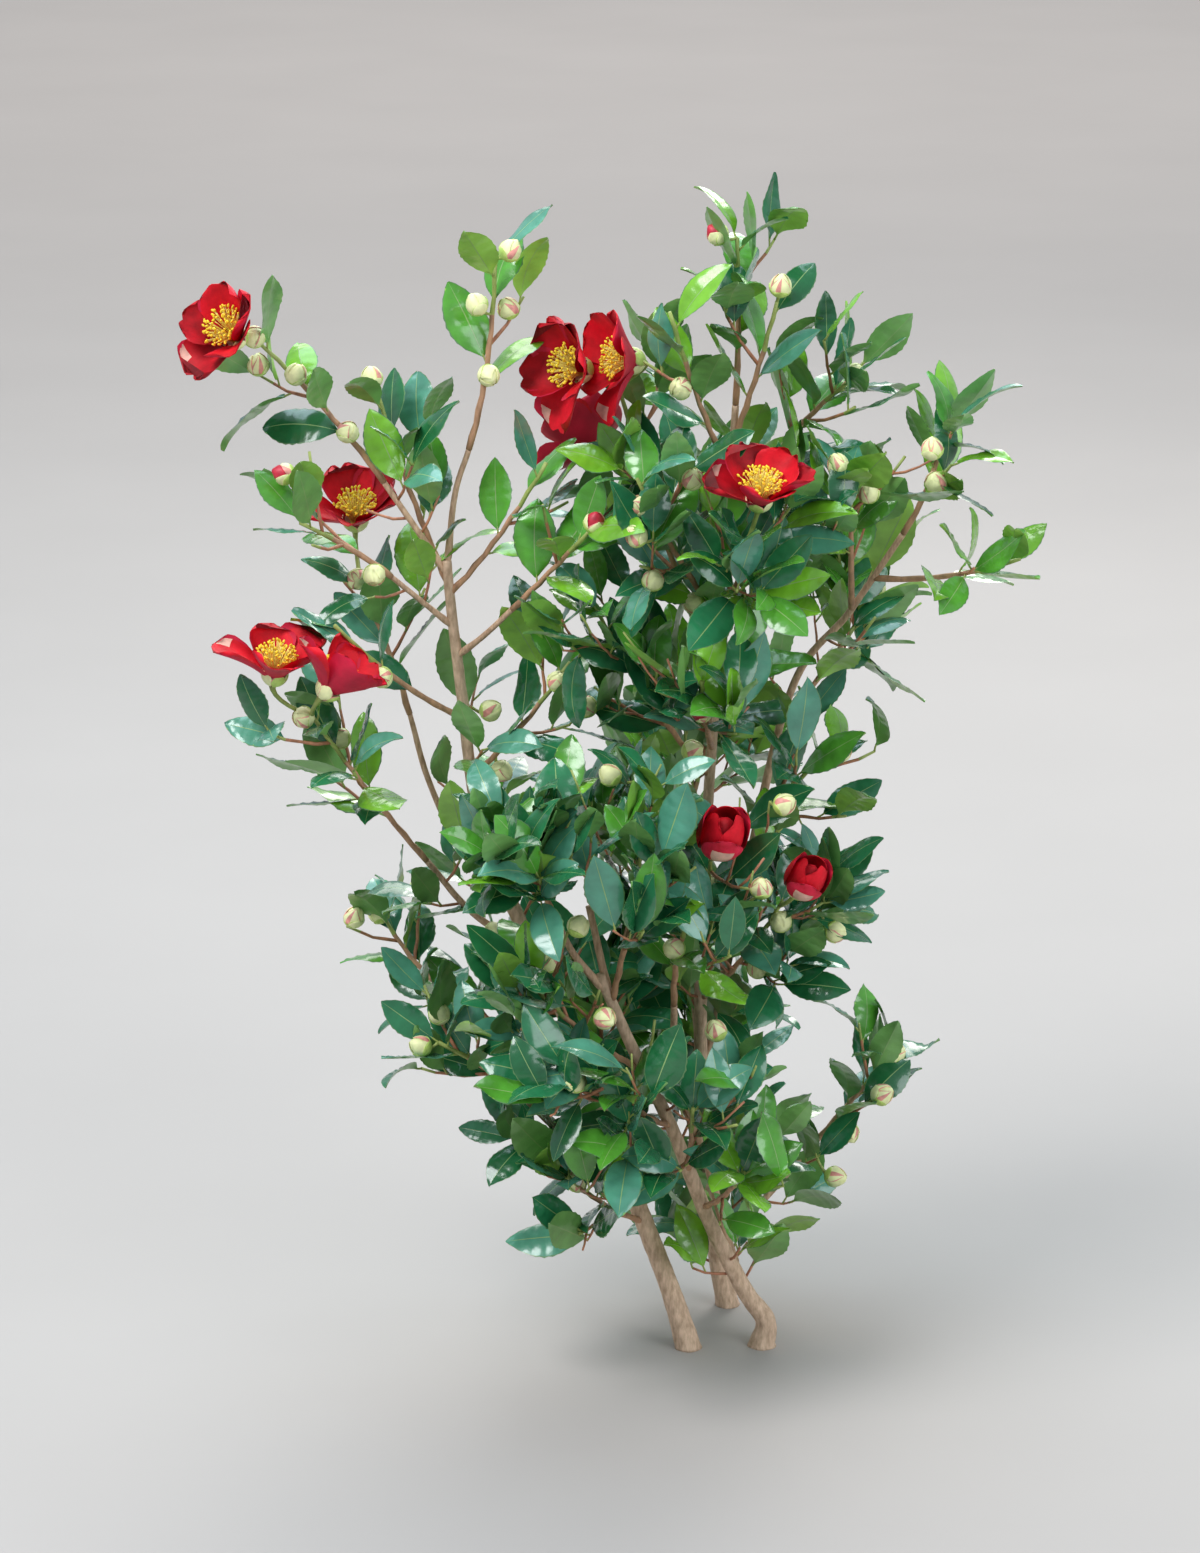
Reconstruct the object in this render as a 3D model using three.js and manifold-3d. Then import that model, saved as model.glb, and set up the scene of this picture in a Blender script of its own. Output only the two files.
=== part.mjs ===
// A young camellia shrub rooted in the ground: three leaning stems from one root, tapering boughs,
// and masses of foliage that each grow from one twig, with leaves, buds and single red blossom.
// Millimetres, +Z up. The origin is the middle of the main stem's flat cut at ground level.

import * as THREE from "three";
import { mergeVertices } from "three/addons/utils/BufferGeometryUtils.js";
import Module from "manifold-3d";

const wasm = await Module();
wasm.setup();

// Driving dimensions, in millimetres. Radii run from a limb's root to its tip, and thin fastest at the root.
const JOINT_GAP = 0.35;
const LEAST_EDGE = 0.02;
const FLARE = { share: 0.1, height: 11 };
const SIDES = { stem: 8, bough: 6, twig: 3 };
const RING_STEP = 28;
const TWIG_RADII = { main: [1.9, 1.2], side: [1.1, 0.9], stalk: [1.2, 1.2] };
const BUD = { length: 17, width: 11, sink: 3.5 };
const BLOOM = { petals: 6, length: 36, boss: 20, calyx: 13 };

// A leaf's width, thickness and droop are shares of its length, and neck is the bare foot of its blade
const LEAF = { length: 53, width: 0.62, thick: 0.05, droop: 0.08, sink: 0.4, neck: 6 };

// Shares of a petal's length where the cup is cut in between two petals, and of a blade at its widest
const PETAL_NOTCH = 0.72;
const WIDEST = 0.47;

// Growth: the turn from one leaf or side twig to the next, the stretch of a twig that carries them,
// the leaves on a side twig, and how leaves open and shrink from a twig's foot to its tip
const GOLDEN_TURN = THREE.MathUtils.degToRad(137.5);
const SIDE_TWIGS = { from: 0.3, to: 0.9, onward: 0.6, outward: 0.8, rise: 0.25, leaves: 3 };
const LEAVES = { from: 0.3, to: 0.98, open: [1.2, 0.55], size: [1.02, 0.86], rise: 0.3, inward: 0.6 };
const SPREAD = { twigTurn: 0.4, twigLength: 0.25, turn: 0.7, open: 0.35, size: 0.28, roll: 1.8, bud: 0.4 };
const FIRST_SEED = 1000;
const SEEDS_PER_MASS = 16;

// How far a mass may reach past the half-way line to its neighbour
const SPACE_OVERLAP = 15;

// What stays in view from the front, past which the line of sight falls by a slope: stretches of bare
// bark, from one height to another, and each bloom that faces the front. Leaves keep a clearance to
// them, where they are tested at two shares of their length.
const BARE = {
  stem_right: [[0, 90], [118, 168], [197, 262]],
  stem_left: [[0, 86], [104, 114]],
  bough_pruned: [[238, 300]],
};
const IN_VIEW = { slope: 0.3, bark: 8, bloom: 22, shares: [0.4, 0.8] };

// Stems: radius at the ground and at the top, and the points that each one leans through
const STEMS = {
  stem_right: {
    radius: [8, 3],
    path: [
      [0, 0, 0], [2, 0, 16], [-11, -3, 37], [-33, -12, 86], [-55, -28, 149], [-77, -42, 201], [-97, -55, 252],
    ],
  },
  stem_left: {
    radius: [7.8, 2.6],
    path: [
      [-44, -3, 0], [-56, -3, 40], [-88, 0, 127], [-120, 8, 212], [-152, 14, 281],
      [-169, 14, 336], [-176, 10, 397], [-182, 4, 455], [-184, 0, 483],
    ],
  },
  stem_back: {
    radius: [7.1, 2],
    path: [
      [-19, 63, 0], [-25, 60, 29], [-33, 50, 99], [-37, 40, 179], [-36, 30, 270],
      [-33, 22, 346], [-28, 10, 433], [-24, 8, 504], [-20, 8, 571],
    ],
  },
};

// Boughs: the stem that carries each one, the height where it leaves, its radius and its way to its tip
const BOUGHS = {
  bough_low_left: {
    from: "stem_left", at: 118, radius: [2.9, 1.8], path: [[-116, -10, 136], [-143, -22, 167]],
  },
  bough_left_shoulder: {
    from: "stem_left", at: 178, radius: [2.5, 1.6], path: [[-146, 25, 186], [-192, 45, 212]],
  },
  bough_left_flower: {
    from: "stem_left", at: 243, radius: [2.6, 1.8], path: [[-170, 8, 268], [-197, -3, 304]],
  },
  bough_left_inner: {
    from: "stem_left", at: 272, radius: [2.6, 1.6],
    path: [[-176, 26, 299], [-196, 30, 341], [-207, 26, 384]],
  },
  bough_left_upper: { from: "stem_left", at: 442, radius: [1.9, 1.5], path: [[-215, -12, 476]] },
  bough_far_left: { from: "stem_left", at: 474, radius: [2.1, 1.7], path: [[-219, 0, 528]] },
  bough_top_left: {
    from: "stem_left", at: 479, radius: [2, 1.6], path: [[-179, 0, 521], [-171, 0, 547]],
  },
  bough_fork_right: {
    from: "stem_left", at: 424, radius: [1.9, 1.6], path: [[-162, -3, 440], [-147, -9, 456]],
  },
  bough_front_left: {
    from: "stem_right", at: 240, radius: [2.6, 1.8], path: [[-111, -62, 266], [-122, -72, 292]],
  },
  bough_front_centre: {
    from: "stem_right", at: 47, radius: [3.4, 1.9],
    path: [[-34, -2, 119], [-52, -18, 183], [-54, -36, 227]],
  },
  bough_right: {
    from: "stem_back", at: 146, radius: [3.5, 1.8],
    path: [[-11, 52, 275], [15, 42, 395], [47, 24, 446], [76, 8, 496]],
  },
  bough_low_right: { from: "stem_back", at: 37, radius: [2.8, 1.8], path: [[0, 68, 63], [31, 76, 97]] },
  bough_upper_right: {
    from: "stem_back", at: 486, radius: [1.9, 1.5], path: [[-10, 16, 512], [1, 22, 532]],
  },
  bough_back: { from: "stem_back", at: 165, radius: [2.9, 1.7], path: [[-43, 84, 225], [-44, 116, 270]] },
  bough_pruned: { from: "stem_right", at: 238, radius: [2.4, 2], path: [[-103, -50, 292]] },
};

// Foliage masses. Each grows from a bough's tip, or from a stem at a height (at), to the tip of its
// main twig. reach is how far its side twigs stand out, twigs how many there are, leaves how many the
// main twig carries, buds how many of its twigs end in one, and turn where the first side twig points,
// in degrees round the main twig. A bloom has its foot, the way it faces, and how far it is open, 0 to 1.
const MASSES = {
  foliage_far_left: {
    from: "bough_far_left", tip: [-292, -5, 614], reach: 40, twigs: 1, leaves: 5, buds: 2, turn: 150,
    blooms: [{ foot: [-299, -10, 612], face: [-0.45, -0.6, 0.6], open: 0.75 }],
  },
  foliage_fork_left: {
    from: "stem_left", at: 468, tip: [-224, 22, 577], reach: 34, twigs: 1, leaves: 5, buds: 2, turn: 60,
  },
  foliage_top_left: {
    from: "bough_top_left", tip: [-155, -5, 658], reach: 30, twigs: 1, leaves: 5, buds: 2, turn: 40,
  },
  foliage_fork_inner: {
    from: "stem_left", at: 462, tip: [-127, -15, 543], reach: 34, twigs: 1, leaves: 5, buds: 1, turn: 200,
  },
  foliage_fork_right: {
    from: "bough_fork_right", tip: [-101, -34, 510], reach: 34, twigs: 1, leaves: 7, buds: 2, turn: 20,
  },
  foliage_left_upper: {
    from: "bough_left_upper", tip: [-265, -34, 513], reach: 44, twigs: 3, leaves: 5, buds: 2, turn: 100,
  },
  foliage_left_inner: {
    from: "bough_left_inner", tip: [-236, 22, 470], reach: 38, twigs: 2, leaves: 5, buds: 2, turn: 0,
    blooms: [{ foot: [-238, 44, 492], face: [0.05, -0.35, 0.93], open: 0.75 }],
  },
  foliage_left_pair: {
    from: "stem_left", at: 386, tip: [-246, -44, 456], reach: 36, twigs: 1, leaves: 5, buds: 1, turn: 80,
  },
  foliage_left_flower: {
    from: "bough_left_flower", tip: [-262, -38, 404], reach: 44, twigs: 4, leaves: 8, buds: 2, turn: 120,
    blooms: [
      { foot: [-281, -46, 424], face: [0.2, -0.1, 0.95], open: 0.85 },
      { foot: [-252, -60, 420], face: [0.65, 0.1, 0.7], open: 0.7 },
    ],
  },
  foliage_fork_low: {
    from: "stem_left", at: 350, tip: [-114, 2, 422], reach: 36, twigs: 2, leaves: 5, buds: 1, turn: 180,
  },
  foliage_left_shoulder: {
    from: "bough_left_shoulder", tip: [-224, 58, 248], reach: 34, twigs: 2, leaves: 5, buds: 2, turn: 70,
  },
  foliage_left_waist: {
    from: "stem_left", at: 150, tip: [-96, 36, 212], reach: 46, twigs: 5, leaves: 6, buds: 1, turn: 10,
  },
  foliage_low_left: {
    from: "bough_low_left", tip: [-190, -46, 208], reach: 38, twigs: 3, leaves: 5, buds: 2, turn: 140,
  },
  foliage_crest_left: {
    from: "bough_front_left", tip: [-134, -86, 328], reach: 36, twigs: 4, leaves: 5, buds: 1, turn: 90,
  },
  foliage_crest: {
    from: "stem_right", at: 234, tip: [-74, -92, 336], reach: 50, twigs: 6, leaves: 6, buds: 1, turn: 30,
  },
  foliage_front_centre: {
    from: "bough_front_centre", tip: [-44, -88, 304], reach: 54, twigs: 6, leaves: 6, buds: 2, turn: 60,
  },
  foliage_front_low_right: {
    from: "stem_right", at: 94, tip: [-14, -78, 140], reach: 44, twigs: 5, leaves: 6, buds: 0, turn: 20,
  },
  foliage_front_left: {
    from: "stem_right", at: 188, tip: [-138, -92, 262], reach: 44, twigs: 6, leaves: 6, buds: 2, turn: 0,
  },
  foliage_front_low: {
    from: "stem_right", at: 150, tip: [-98, -104, 210], reach: 54, twigs: 6, leaves: 6, buds: 1, turn: 200,
  },
  foliage_bottom_left: {
    from: "stem_left", at: 80, tip: [-115, -58, 130], reach: 44, twigs: 5, leaves: 5, buds: 1, turn: 50,
  },
  foliage_top: { from: "stem_back", tip: [-20, 2, 668], reach: 32, twigs: 2, leaves: 7, buds: 1, turn: 255 },
  foliage_top_right: {
    from: "stem_back", at: 550, tip: [2, -18, 636], reach: 30, twigs: 1, leaves: 5, buds: 1, turn: 60,
  },
  foliage_top_inner: {
    from: "stem_back", at: 530, tip: [-58, -24, 631], reach: 32, twigs: 1, leaves: 5, buds: 2, turn: 150,
  },
  foliage_upper_left: {
    from: "stem_back", at: 446, tip: [-76, -50, 542], reach: 40, twigs: 2, leaves: 5, buds: 2, turn: 180,
  },
  foliage_upper_left_back: {
    from: "stem_back", at: 410, tip: [-88, 12, 588], reach: 46, twigs: 3, leaves: 6, buds: 1, turn: 130,
    blooms: [
      { foot: [-74, -2, 598], face: [-0.95, -0.25, 0.2], open: 0.95 },
      { foot: [-104, 10, 590], face: [-0.75, -0.5, 0.3], open: 0.95 },
      { foot: [-96, 34, 536], face: [-0.4, 0.6, 0.5], open: 0.8 },
    ],
  },
  foliage_upper_right: {
    from: "bough_upper_right", tip: [46, 10, 586], reach: 42, twigs: 4, leaves: 7, buds: 2, turn: 0,
  },
  foliage_flower_centre: {
    from: "stem_back", at: 440, tip: [-14, -62, 512], reach: 44, twigs: 3, leaves: 5, buds: 2, turn: 20,
    blooms: [{ foot: [-9, -66, 530], face: [0.1, -0.34, 0.93], open: 0.8 }],
  },
  foliage_centre: {
    from: "stem_back", at: 366, tip: [-40, -68, 430], reach: 46, twigs: 4, leaves: 5, buds: 2, turn: 80,
  },
  foliage_centre_left: {
    from: "stem_back", at: 348, tip: [-98, -24, 459], reach: 46, twigs: 4, leaves: 5, buds: 2, turn: 120,
  },
  foliage_half_open: {
    from: "stem_back", at: 268, tip: [-34, -72, 328], reach: 54, twigs: 5, leaves: 5, buds: 2, turn: 10,
    blooms: [{ foot: [-32, -78, 332], face: [0.25, -0.4, 0.88], open: 0.2 }],
  },
  foliage_mid_right: {
    from: "stem_back", at: 306, tip: [35, -14, 374], reach: 48, twigs: 5, leaves: 6, buds: 2, turn: 40,
  },
  foliage_lower_right: {
    from: "stem_back", at: 206, tip: [8, -36, 290], reach: 42, twigs: 5, leaves: 6, buds: 2, turn: 60,
    blooms: [{ foot: [15, -56, 302], face: [0.42, -0.42, 0.8], open: 0.1 }],
  },
  foliage_low_right: {
    from: "bough_low_right", tip: [76, 84, 150], reach: 32, twigs: 3, leaves: 7, buds: 2, turn: 100,
  },
  foliage_right_tip: {
    from: "bough_right", tip: [101, 0, 565], reach: 32, twigs: 2, leaves: 5, buds: 2, turn: 130,
  },
  foliage_right_inner: {
    from: "bough_right", at: 448, tip: [44, -30, 537], reach: 40, twigs: 3, leaves: 5, buds: 2, turn: 0,
  },
  foliage_far_right: {
    from: "bough_right", at: 468, tip: [141, -18, 488], reach: 30, twigs: 1, leaves: 6, buds: 1, turn: 90,
  },
  foliage_back_low: {
    from: "stem_back", at: 96, tip: [-60, 104, 158], reach: 50, twigs: 5, leaves: 5, buds: 1, turn: 45,
  },
  foliage_back_mid: {
    from: "bough_back", tip: [-32, 140, 332], reach: 54, twigs: 4, leaves: 5, buds: 1, turn: 0,
  },
  foliage_back_upper: {
    from: "stem_back", at: 402, tip: [-34, 118, 488], reach: 52, twigs: 4, leaves: 5, buds: 1, turn: 90,
  },
  foliage_back_left: {
    from: "stem_back", at: 226, tip: [-102, 92, 308], reach: 50, twigs: 4, leaves: 5, buds: 1, turn: 20,
  },
  foliage_back_right: {
    from: "bough_right", at: 374, tip: [64, 90, 438], reach: 44, twigs: 3, leaves: 5, buds: 1, turn: 60,
  },
  foliage_low_centre: {
    from: "stem_right", at: 120, tip: [-44, -96, 186], reach: 48, twigs: 5, leaves: 6, buds: 1, turn: 30,
  },
};

const UP = new THREE.Vector3(0, 0, 1);
const vector = (place) => new THREE.Vector3(...place);

// The same numbers on every run
function seeded(seed) {
  let state = seed >>> 0;
  return () => {
    state = (state + 0x6d2b79f5) >>> 0;
    let mixed = Math.imul(state ^ (state >>> 15), 1 | state);
    mixed = (mixed + Math.imul(mixed ^ (mixed >>> 7), 61 | mixed)) ^ mixed;
    return ((mixed ^ (mixed >>> 14)) >>> 0) / 4294967296;
  };
}

// A closed solid from its corners and its triangles
function solid(corners, triangles) {
  const geometry = new THREE.BufferGeometry()
    .setAttribute("position", new THREE.Float32BufferAttribute(corners.flatMap((c) => [c.x, c.y, c.z]), 3));
  geometry.setIndex(triangles.flat());
  const merged = mergeVertices(geometry, 1e-4);
  return new wasm.Manifold(
    new wasm.Mesh({
      numProp: 3,
      vertProperties: merged.attributes.position.array,
      triVerts: new Uint32Array(merged.index.array),
    }),
  );
}

function onCircle(centre, side, other, radius, turns) {
  const angle = turns * 2 * Math.PI;
  return centre
    .clone()
    .addScaledVector(side, radius * Math.cos(angle))
    .addScaledVector(other, radius * Math.sin(angle));
}

// A tapering limb swept along a curve. The first ring lies flat where level is true.
function sweep(curve, radii, sides, rings, { extra = 0, level = false } = {}) {
  const corners = [];
  const side = Math.abs(curve.getTangent(0).x) > 0.9 ? vector([0, 1, 0]) : vector([1, 0, 0]);
  for (let ring = 0; ring <= rings; ring++) {
    const t = ring / rings;
    const centre = curve.getPoint(t);
    const nearGround = level ? Math.exp(-centre.z / FLARE.height) : 0;
    const along = curve.getTangent(t).lerp(UP, nearGround).normalize();
    side.addScaledVector(along, -side.dot(along)).normalize();
    const other = along.clone().cross(side);
    const taper = THREE.MathUtils.lerp(radii[0], radii[1], Math.sqrt(t));
    const radius = taper * (1 + FLARE.share * nearGround) + extra;
    for (let k = 0; k < sides; k++) corners.push(onCircle(centre, side, other, radius, k / sides));
  }
  const triangles = [];
  for (let ring = 0; ring < rings; ring++)
    for (let k = 0; k < sides; k++) {
      const [a, b] = [ring * sides + k, ring * sides + ((k + 1) % sides)];
      triangles.push([a, b, b + sides], [a, b + sides, a + sides]);
    }
  for (let k = 1; k < sides - 1; k++) {
    const last = rings * sides;
    triangles.push([0, k + 1, k], [last, last + k, last + k + 1]);
  }
  return solid(corners, triangles);
}

// A leaf: two faces above, creased across its widest place, and four that meet on a keel below
function blade(root, along, face, { length, width, thick, droop }, margin = 0) {
  const across = face.clone().cross(along);
  const place = (a, b, c) =>
    root.clone().addScaledVector(along, a).addScaledVector(across, b).addScaledVector(face, c);
  const half = width / 2 + margin;
  const widest = WIDEST * length;
  const corners = [
    place(-margin, 0, margin),
    place(widest, half, margin),
    place(length + margin, 0, margin - droop * length),
    place(widest, -half, margin),
    place(0.3 * length, 0, -thick - margin),
  ];
  return solid(corners, [[0, 3, 1], [1, 3, 2], [0, 1, 4], [1, 2, 4], [2, 3, 4], [3, 0, 4]]);
}

// A pointed egg with four sides: a bud or the boss of stamens
function egg(root, along, length, width, margin = 0) {
  const side = acrossOf(along, 0);
  const other = along.clone().cross(side);
  const waist = root.clone().addScaledVector(along, WIDEST * length);
  const corners = [
    root.clone().addScaledVector(along, -margin),
    ...[0, 1, 2, 3].map((k) => onCircle(waist, side, other, width / 2 + margin, k / 4)),
    root.clone().addScaledVector(along, length + margin),
  ];
  const triangles = [];
  for (let k = 0; k < 4; k++) {
    const [a, b] = [1 + k, 1 + ((k + 1) % 4)];
    triangles.push([0, b, a], [5, a, b]);
  }
  return solid(corners, triangles);
}

// The direction at right angles to along that lies at an angle round it
function acrossOf(along, angle) {
  const first = Math.abs(along.z) > 0.95 ? new THREE.Vector3(1, 0, 0) : UP.clone();
  first.addScaledVector(along, -first.dot(along)).normalize();
  const second = along.clone().cross(first);
  return first.multiplyScalar(Math.cos(angle)).addScaledVector(second, Math.sin(angle));
}

// Limbs: each has its curve, its solid, and its solid with the joint gap added all round
const limbs = {};

function addLimb(name, points, radii, sides, level) {
  const curve = new THREE.CatmullRomCurve3(points, false, "catmullrom", 0.5);
  const rings = Math.round(curve.getLength() / RING_STEP) + 1;
  const whole = sweep(curve, radii, sides, rings, { level });
  const body = Object.values(limbs).reduce((rest, other) => cutClear(rest, other.clear), whole);
  limbs[name] = { curve, body, clear: sweep(curve, radii, sides, rings, { level, extra: JOINT_GAP }) };
}

// The place on a rising curve that lies at a height, as a share of the curve
function shareAtHeight(curve, height) {
  const steps = 400;
  const heights = Array.from({ length: steps + 1 }, (_, step) => curve.getPoint(step / steps).z);
  const above = heights.findIndex((z) => z >= height);
  return (above - (heights[above] - height) / (heights[above] - heights[above - 1])) / steps;
}

function boxesMeet(a, b) {
  return [0, 1, 2].every((axis) => a.min[axis] <= b.max[axis] && b.min[axis] <= a.max[axis]);
}

function largest(body) {
  return body.decompose().reduce((best, piece) => (piece.volume() > best.volume() ? piece : best));
}

// A body less its neighbour's room
function cutClear(body, room) {
  return boxesMeet(body.boundingBox(), room.boundingBox()) ? largest(body.subtract(room)) : body;
}

for (const [name, { radius, path }] of Object.entries(STEMS))
  addLimb(name, path.map(vector), radius, SIDES.stem, true);
for (const [name, { from, at, radius, path }] of Object.entries(BOUGHS)) {
  const carrier = limbs[from].curve;
  const root = carrier.getPoint(shareAtHeight(carrier, at));
  addLimb(name, [root, ...path.map(vector)], radius, SIDES.bough, false);
}

// Everything that a new piece of foliage must stay clear of
const taken = [];

function take(owner, body) {
  taken.push({ owner, body, box: body.boundingBox() });
}

function neighbourAt(owner, roomy) {
  const box = roomy.boundingBox();
  return taken.find(
    (piece) =>
      piece.owner !== owner && boxesMeet(box, piece.box) && !roomy.intersect(piece.body).isEmpty(),
  );
}

for (const [name, { body }] of Object.entries(limbs)) take(name, body);

function twigSolid(curve, radii, rings, extra = 0) {
  return sweep(curve, radii, SIDES.twig, rings, { extra });
}

// The main twig of a mass leaves its bough's tip the bough's own way, or a stem in a hanging curve
function mainTwig(plan) {
  const limb = limbs[plan.from].curve;
  const tip = vector(plan.tip);
  if (plan.at === undefined) {
    const along = limb.getTangent(1);
    const root = limb.getPoint(1).addScaledVector(along, JOINT_GAP);
    const bend = root.clone().addScaledVector(along, 0.4 * root.distanceTo(tip));
    return new THREE.QuadraticBezierCurve3(root, bend, tip);
  }
  const root = limb.getPoint(shareAtHeight(limb, plan.at));
  const bend = root.clone().lerp(tip, 0.5).addScaledVector(UP, -0.1 * root.distanceTo(tip));
  return new THREE.QuadraticBezierCurve3(root, bend, tip);
}

// A side twig leaves the main one at an angle and turns up towards the light
function sideTwig(main, plan, number, draw) {
  const share = THREE.MathUtils.lerp(SIDE_TWIGS.from, SIDE_TWIGS.to, (number + 0.5) / plan.twigs);
  const along = main.getTangent(share);
  const turn = THREE.MathUtils.degToRad(plan.turn) + number * GOLDEN_TURN;
  const out = acrossOf(along, turn + SPREAD.twigTurn * (draw() - 0.5));
  const length = plan.reach * (1.1 - 0.3 * share) * (0.9 + SPREAD.twigLength * draw());
  const aim = along.clone().multiplyScalar(SIDE_TWIGS.onward).addScaledVector(out, SIDE_TWIGS.outward);
  const root = main.getPoint(share);
  const bend = root.clone().addScaledVector(aim, 0.5 * length);
  const tip = root.clone().addScaledVector(aim, length).addScaledVector(UP, SIDE_TWIGS.rise * length);
  return new THREE.QuadraticBezierCurve3(root, bend, tip);
}

// A leaf's place on its twig, always from four draws
function leafPlace(twig, share, turn, draw) {
  const along = twig.getTangent(share);
  const out = acrossOf(along, turn + SPREAD.turn * (draw() - 0.5));
  const open = THREE.MathUtils.lerp(...LEAVES.open, share) + SPREAD.open * (draw() - 0.5);
  const full = LEAF.length * THREE.MathUtils.lerp(...LEAVES.size, share);
  const size = full * (1 + SPREAD.size * (draw() - 0.5));
  const roll = SPREAD.roll * (draw() - 0.5);
  const way = along.clone().multiplyScalar(Math.cos(open)).addScaledVector(out, Math.sin(open));
  way.addScaledVector(UP, LEAVES.rise).normalize();
  const face = UP.clone().addScaledVector(out, -LEAVES.inward);
  face.addScaledVector(way.clone().cross(UP), roll);
  face.addScaledVector(way, -face.dot(way)).normalize();
  return { root: twig.getPoint(share).addScaledVector(way, -LEAF.sink), way, face, size };
}

// The leaf's solid, without its foot where bare is a length, and with a margin all round
function leafSolid({ root, way, face, size }, { bare = 0, margin = 0 } = {}) {
  const shape = {
    length: size + LEAF.sink - bare,
    width: LEAF.width * size,
    thick: LEAF.thick * size,
    droop: LEAF.droop,
  };
  return blade(root.clone().addScaledVector(way, bare), way, face, shape, margin);
}

// One blossom: a star-shaped cup of petals, thick in its middle, round a boss of stamens
function bloomSolids({ foot, face, open }, margin = 0) {
  const root = vector(foot);
  const way = vector(face).normalize();
  const lean = THREE.MathUtils.lerp(0.3, 1.15, open);
  const reach = BLOOM.length * (0.8 + 0.2 * open);
  const points = 2 * BLOOM.petals;
  const corners = [
    root.clone().addScaledVector(way, -BLOOM.calyx / 2 - margin),
    root.clone().addScaledVector(way, BLOOM.calyx / 3 + margin),
  ];
  const triangles = [];
  for (let k = 0; k < points; k++) {
    const length = (k % 2 ? PETAL_NOTCH : 1) * reach + margin;
    const rim = acrossOf(way, (k / points) * 2 * Math.PI).multiplyScalar(length * Math.sin(lean));
    corners.push(root.clone().addScaledVector(way, length * Math.cos(lean)).add(rim));
    const [a, b] = [2 + k, 2 + ((k + 1) % points)];
    triangles.push([0, b, a], [1, a, b]);
  }
  return [solid(corners, triangles), egg(root, way, BLOOM.boss, BLOOM.boss * 0.8, margin)];
}

// The short stalk that joins a bloom to the nearest place on the main twig
function bloomStalk(main, { foot, face }) {
  const root = vector(foot);
  const places = main.getPoints(50).map((point) => point.distanceTo(root));
  const nearest = places.indexOf(Math.min(...places)) / 50;
  const start = main.getPoint(THREE.MathUtils.clamp(nearest, 0.25, 0.97));
  const bend = root.clone().addScaledVector(vector(face).normalize(), -0.35 * start.distanceTo(root));
  return new THREE.QuadraticBezierCurve3(start, bend, root);
}

// A mass starts as its main twig, cut clear of the limbs
function startMass([name, plan], index) {
  const curve = mainTwig(plan);
  const whole = twigSolid(curve, TWIG_RADII.main, 4);
  const met = Object.entries(limbs).filter(([limb]) => limb !== plan.from || plan.at !== undefined);
  const body = met.reduce((rest, [, other]) => cutClear(rest, other.clear), whole);
  const crossed = neighbourAt(name, body);
  if (crossed) throw new Error(name + "'s main twig crosses " + crossed.owner);
  take(name, body);
  return { name, plan, curve, seed: FIRST_SEED + SEEDS_PER_MASS * index, bodies: [body] };
}

function addBloom(mass, bloom) {
  const stalk = bloomStalk(mass.curve, bloom);
  const roomy = [twigSolid(stalk, TWIG_RADII.stalk, 2, JOINT_GAP), ...bloomSolids(bloom, JOINT_GAP)];
  const crossed = roomy.map((piece) => neighbourAt(mass.name, piece)).find(Boolean);
  if (crossed) throw new Error(mass.name + "'s bloom touches " + crossed.owner);
  for (const piece of [twigSolid(stalk, TWIG_RADII.stalk, 2), ...bloomSolids(bloom)]) keep(mass, piece);
}

function keep(mass, piece) {
  mass.bodies.push(piece);
  take(mass.name, piece);
}

// A mass's own space: the places that lie no further from its main twig than from any other's
function ownsPlace(mass, place) {
  const distance = ({ curve }) =>
    Math.min(...[0.2, 0.4, 0.6, 0.8, 1].map((share) => curve.getPoint(share).distanceTo(place)));
  const own = distance(mass) - SPACE_OVERLAP;
  return masses.every((other) => other === mass || own <= distance(other));
}

const barkInView = Object.entries(BARE).flatMap(([limb, stretches]) =>
  limbs[limb].curve
    .getPoints(60)
    .filter(({ z }) => stretches.some(([low, high]) => z >= low && z <= high))
    .map((place) => ({ place, side: IN_VIEW.bark })),
);
const bloomsInView = Object.values(MASSES)
  .flatMap(({ blooms = [] }) => blooms)
  .filter(({ face }) => face[1] < 0)
  .map(({ foot, face }) => ({
    place: vector(foot).addScaledVector(vector(face).normalize(), BLOOM.length / 2),
    side: IN_VIEW.bloom,
  }));
const inView = [...barkInView, ...bloomsInView];

// Whether a leaf hides from the front what stays in view
function hides({ root, way, size }) {
  return IN_VIEW.shares.some((share) => {
    const leaf = root.clone().addScaledVector(way, share * size);
    return inView.some(({ place, side }) => {
      const fall = IN_VIEW.slope * (place.y - leaf.y);
      return fall > 0 && Math.hypot(leaf.x - place.x, leaf.z - fall - place.z) < side;
    });
  });
}

function addLeaves(mass, twig) {
  for (let k = 0; k < twig.leaves; k++) {
    const share = THREE.MathUtils.lerp(LEAVES.from, LEAVES.to, (k + 0.5) / twig.leaves);
    const leaf = leafPlace(twig.curve, share, twig.turn + k * GOLDEN_TURN, twig.draw);
    const middle = leaf.root.clone().addScaledVector(leaf.way, 0.6 * leaf.size);
    if (!ownsPlace(mass, middle) || hides(leaf)) continue;
    if (neighbourAt(mass.name, leafSolid(leaf, { margin: JOINT_GAP }))) continue;
    const blade = leafSolid(leaf, { bare: LEAF.neck });
    if (mass.bodies.every((own) => blade.intersect(own).isEmpty())) keep(mass, leafSolid(leaf));
  }
}

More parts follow.
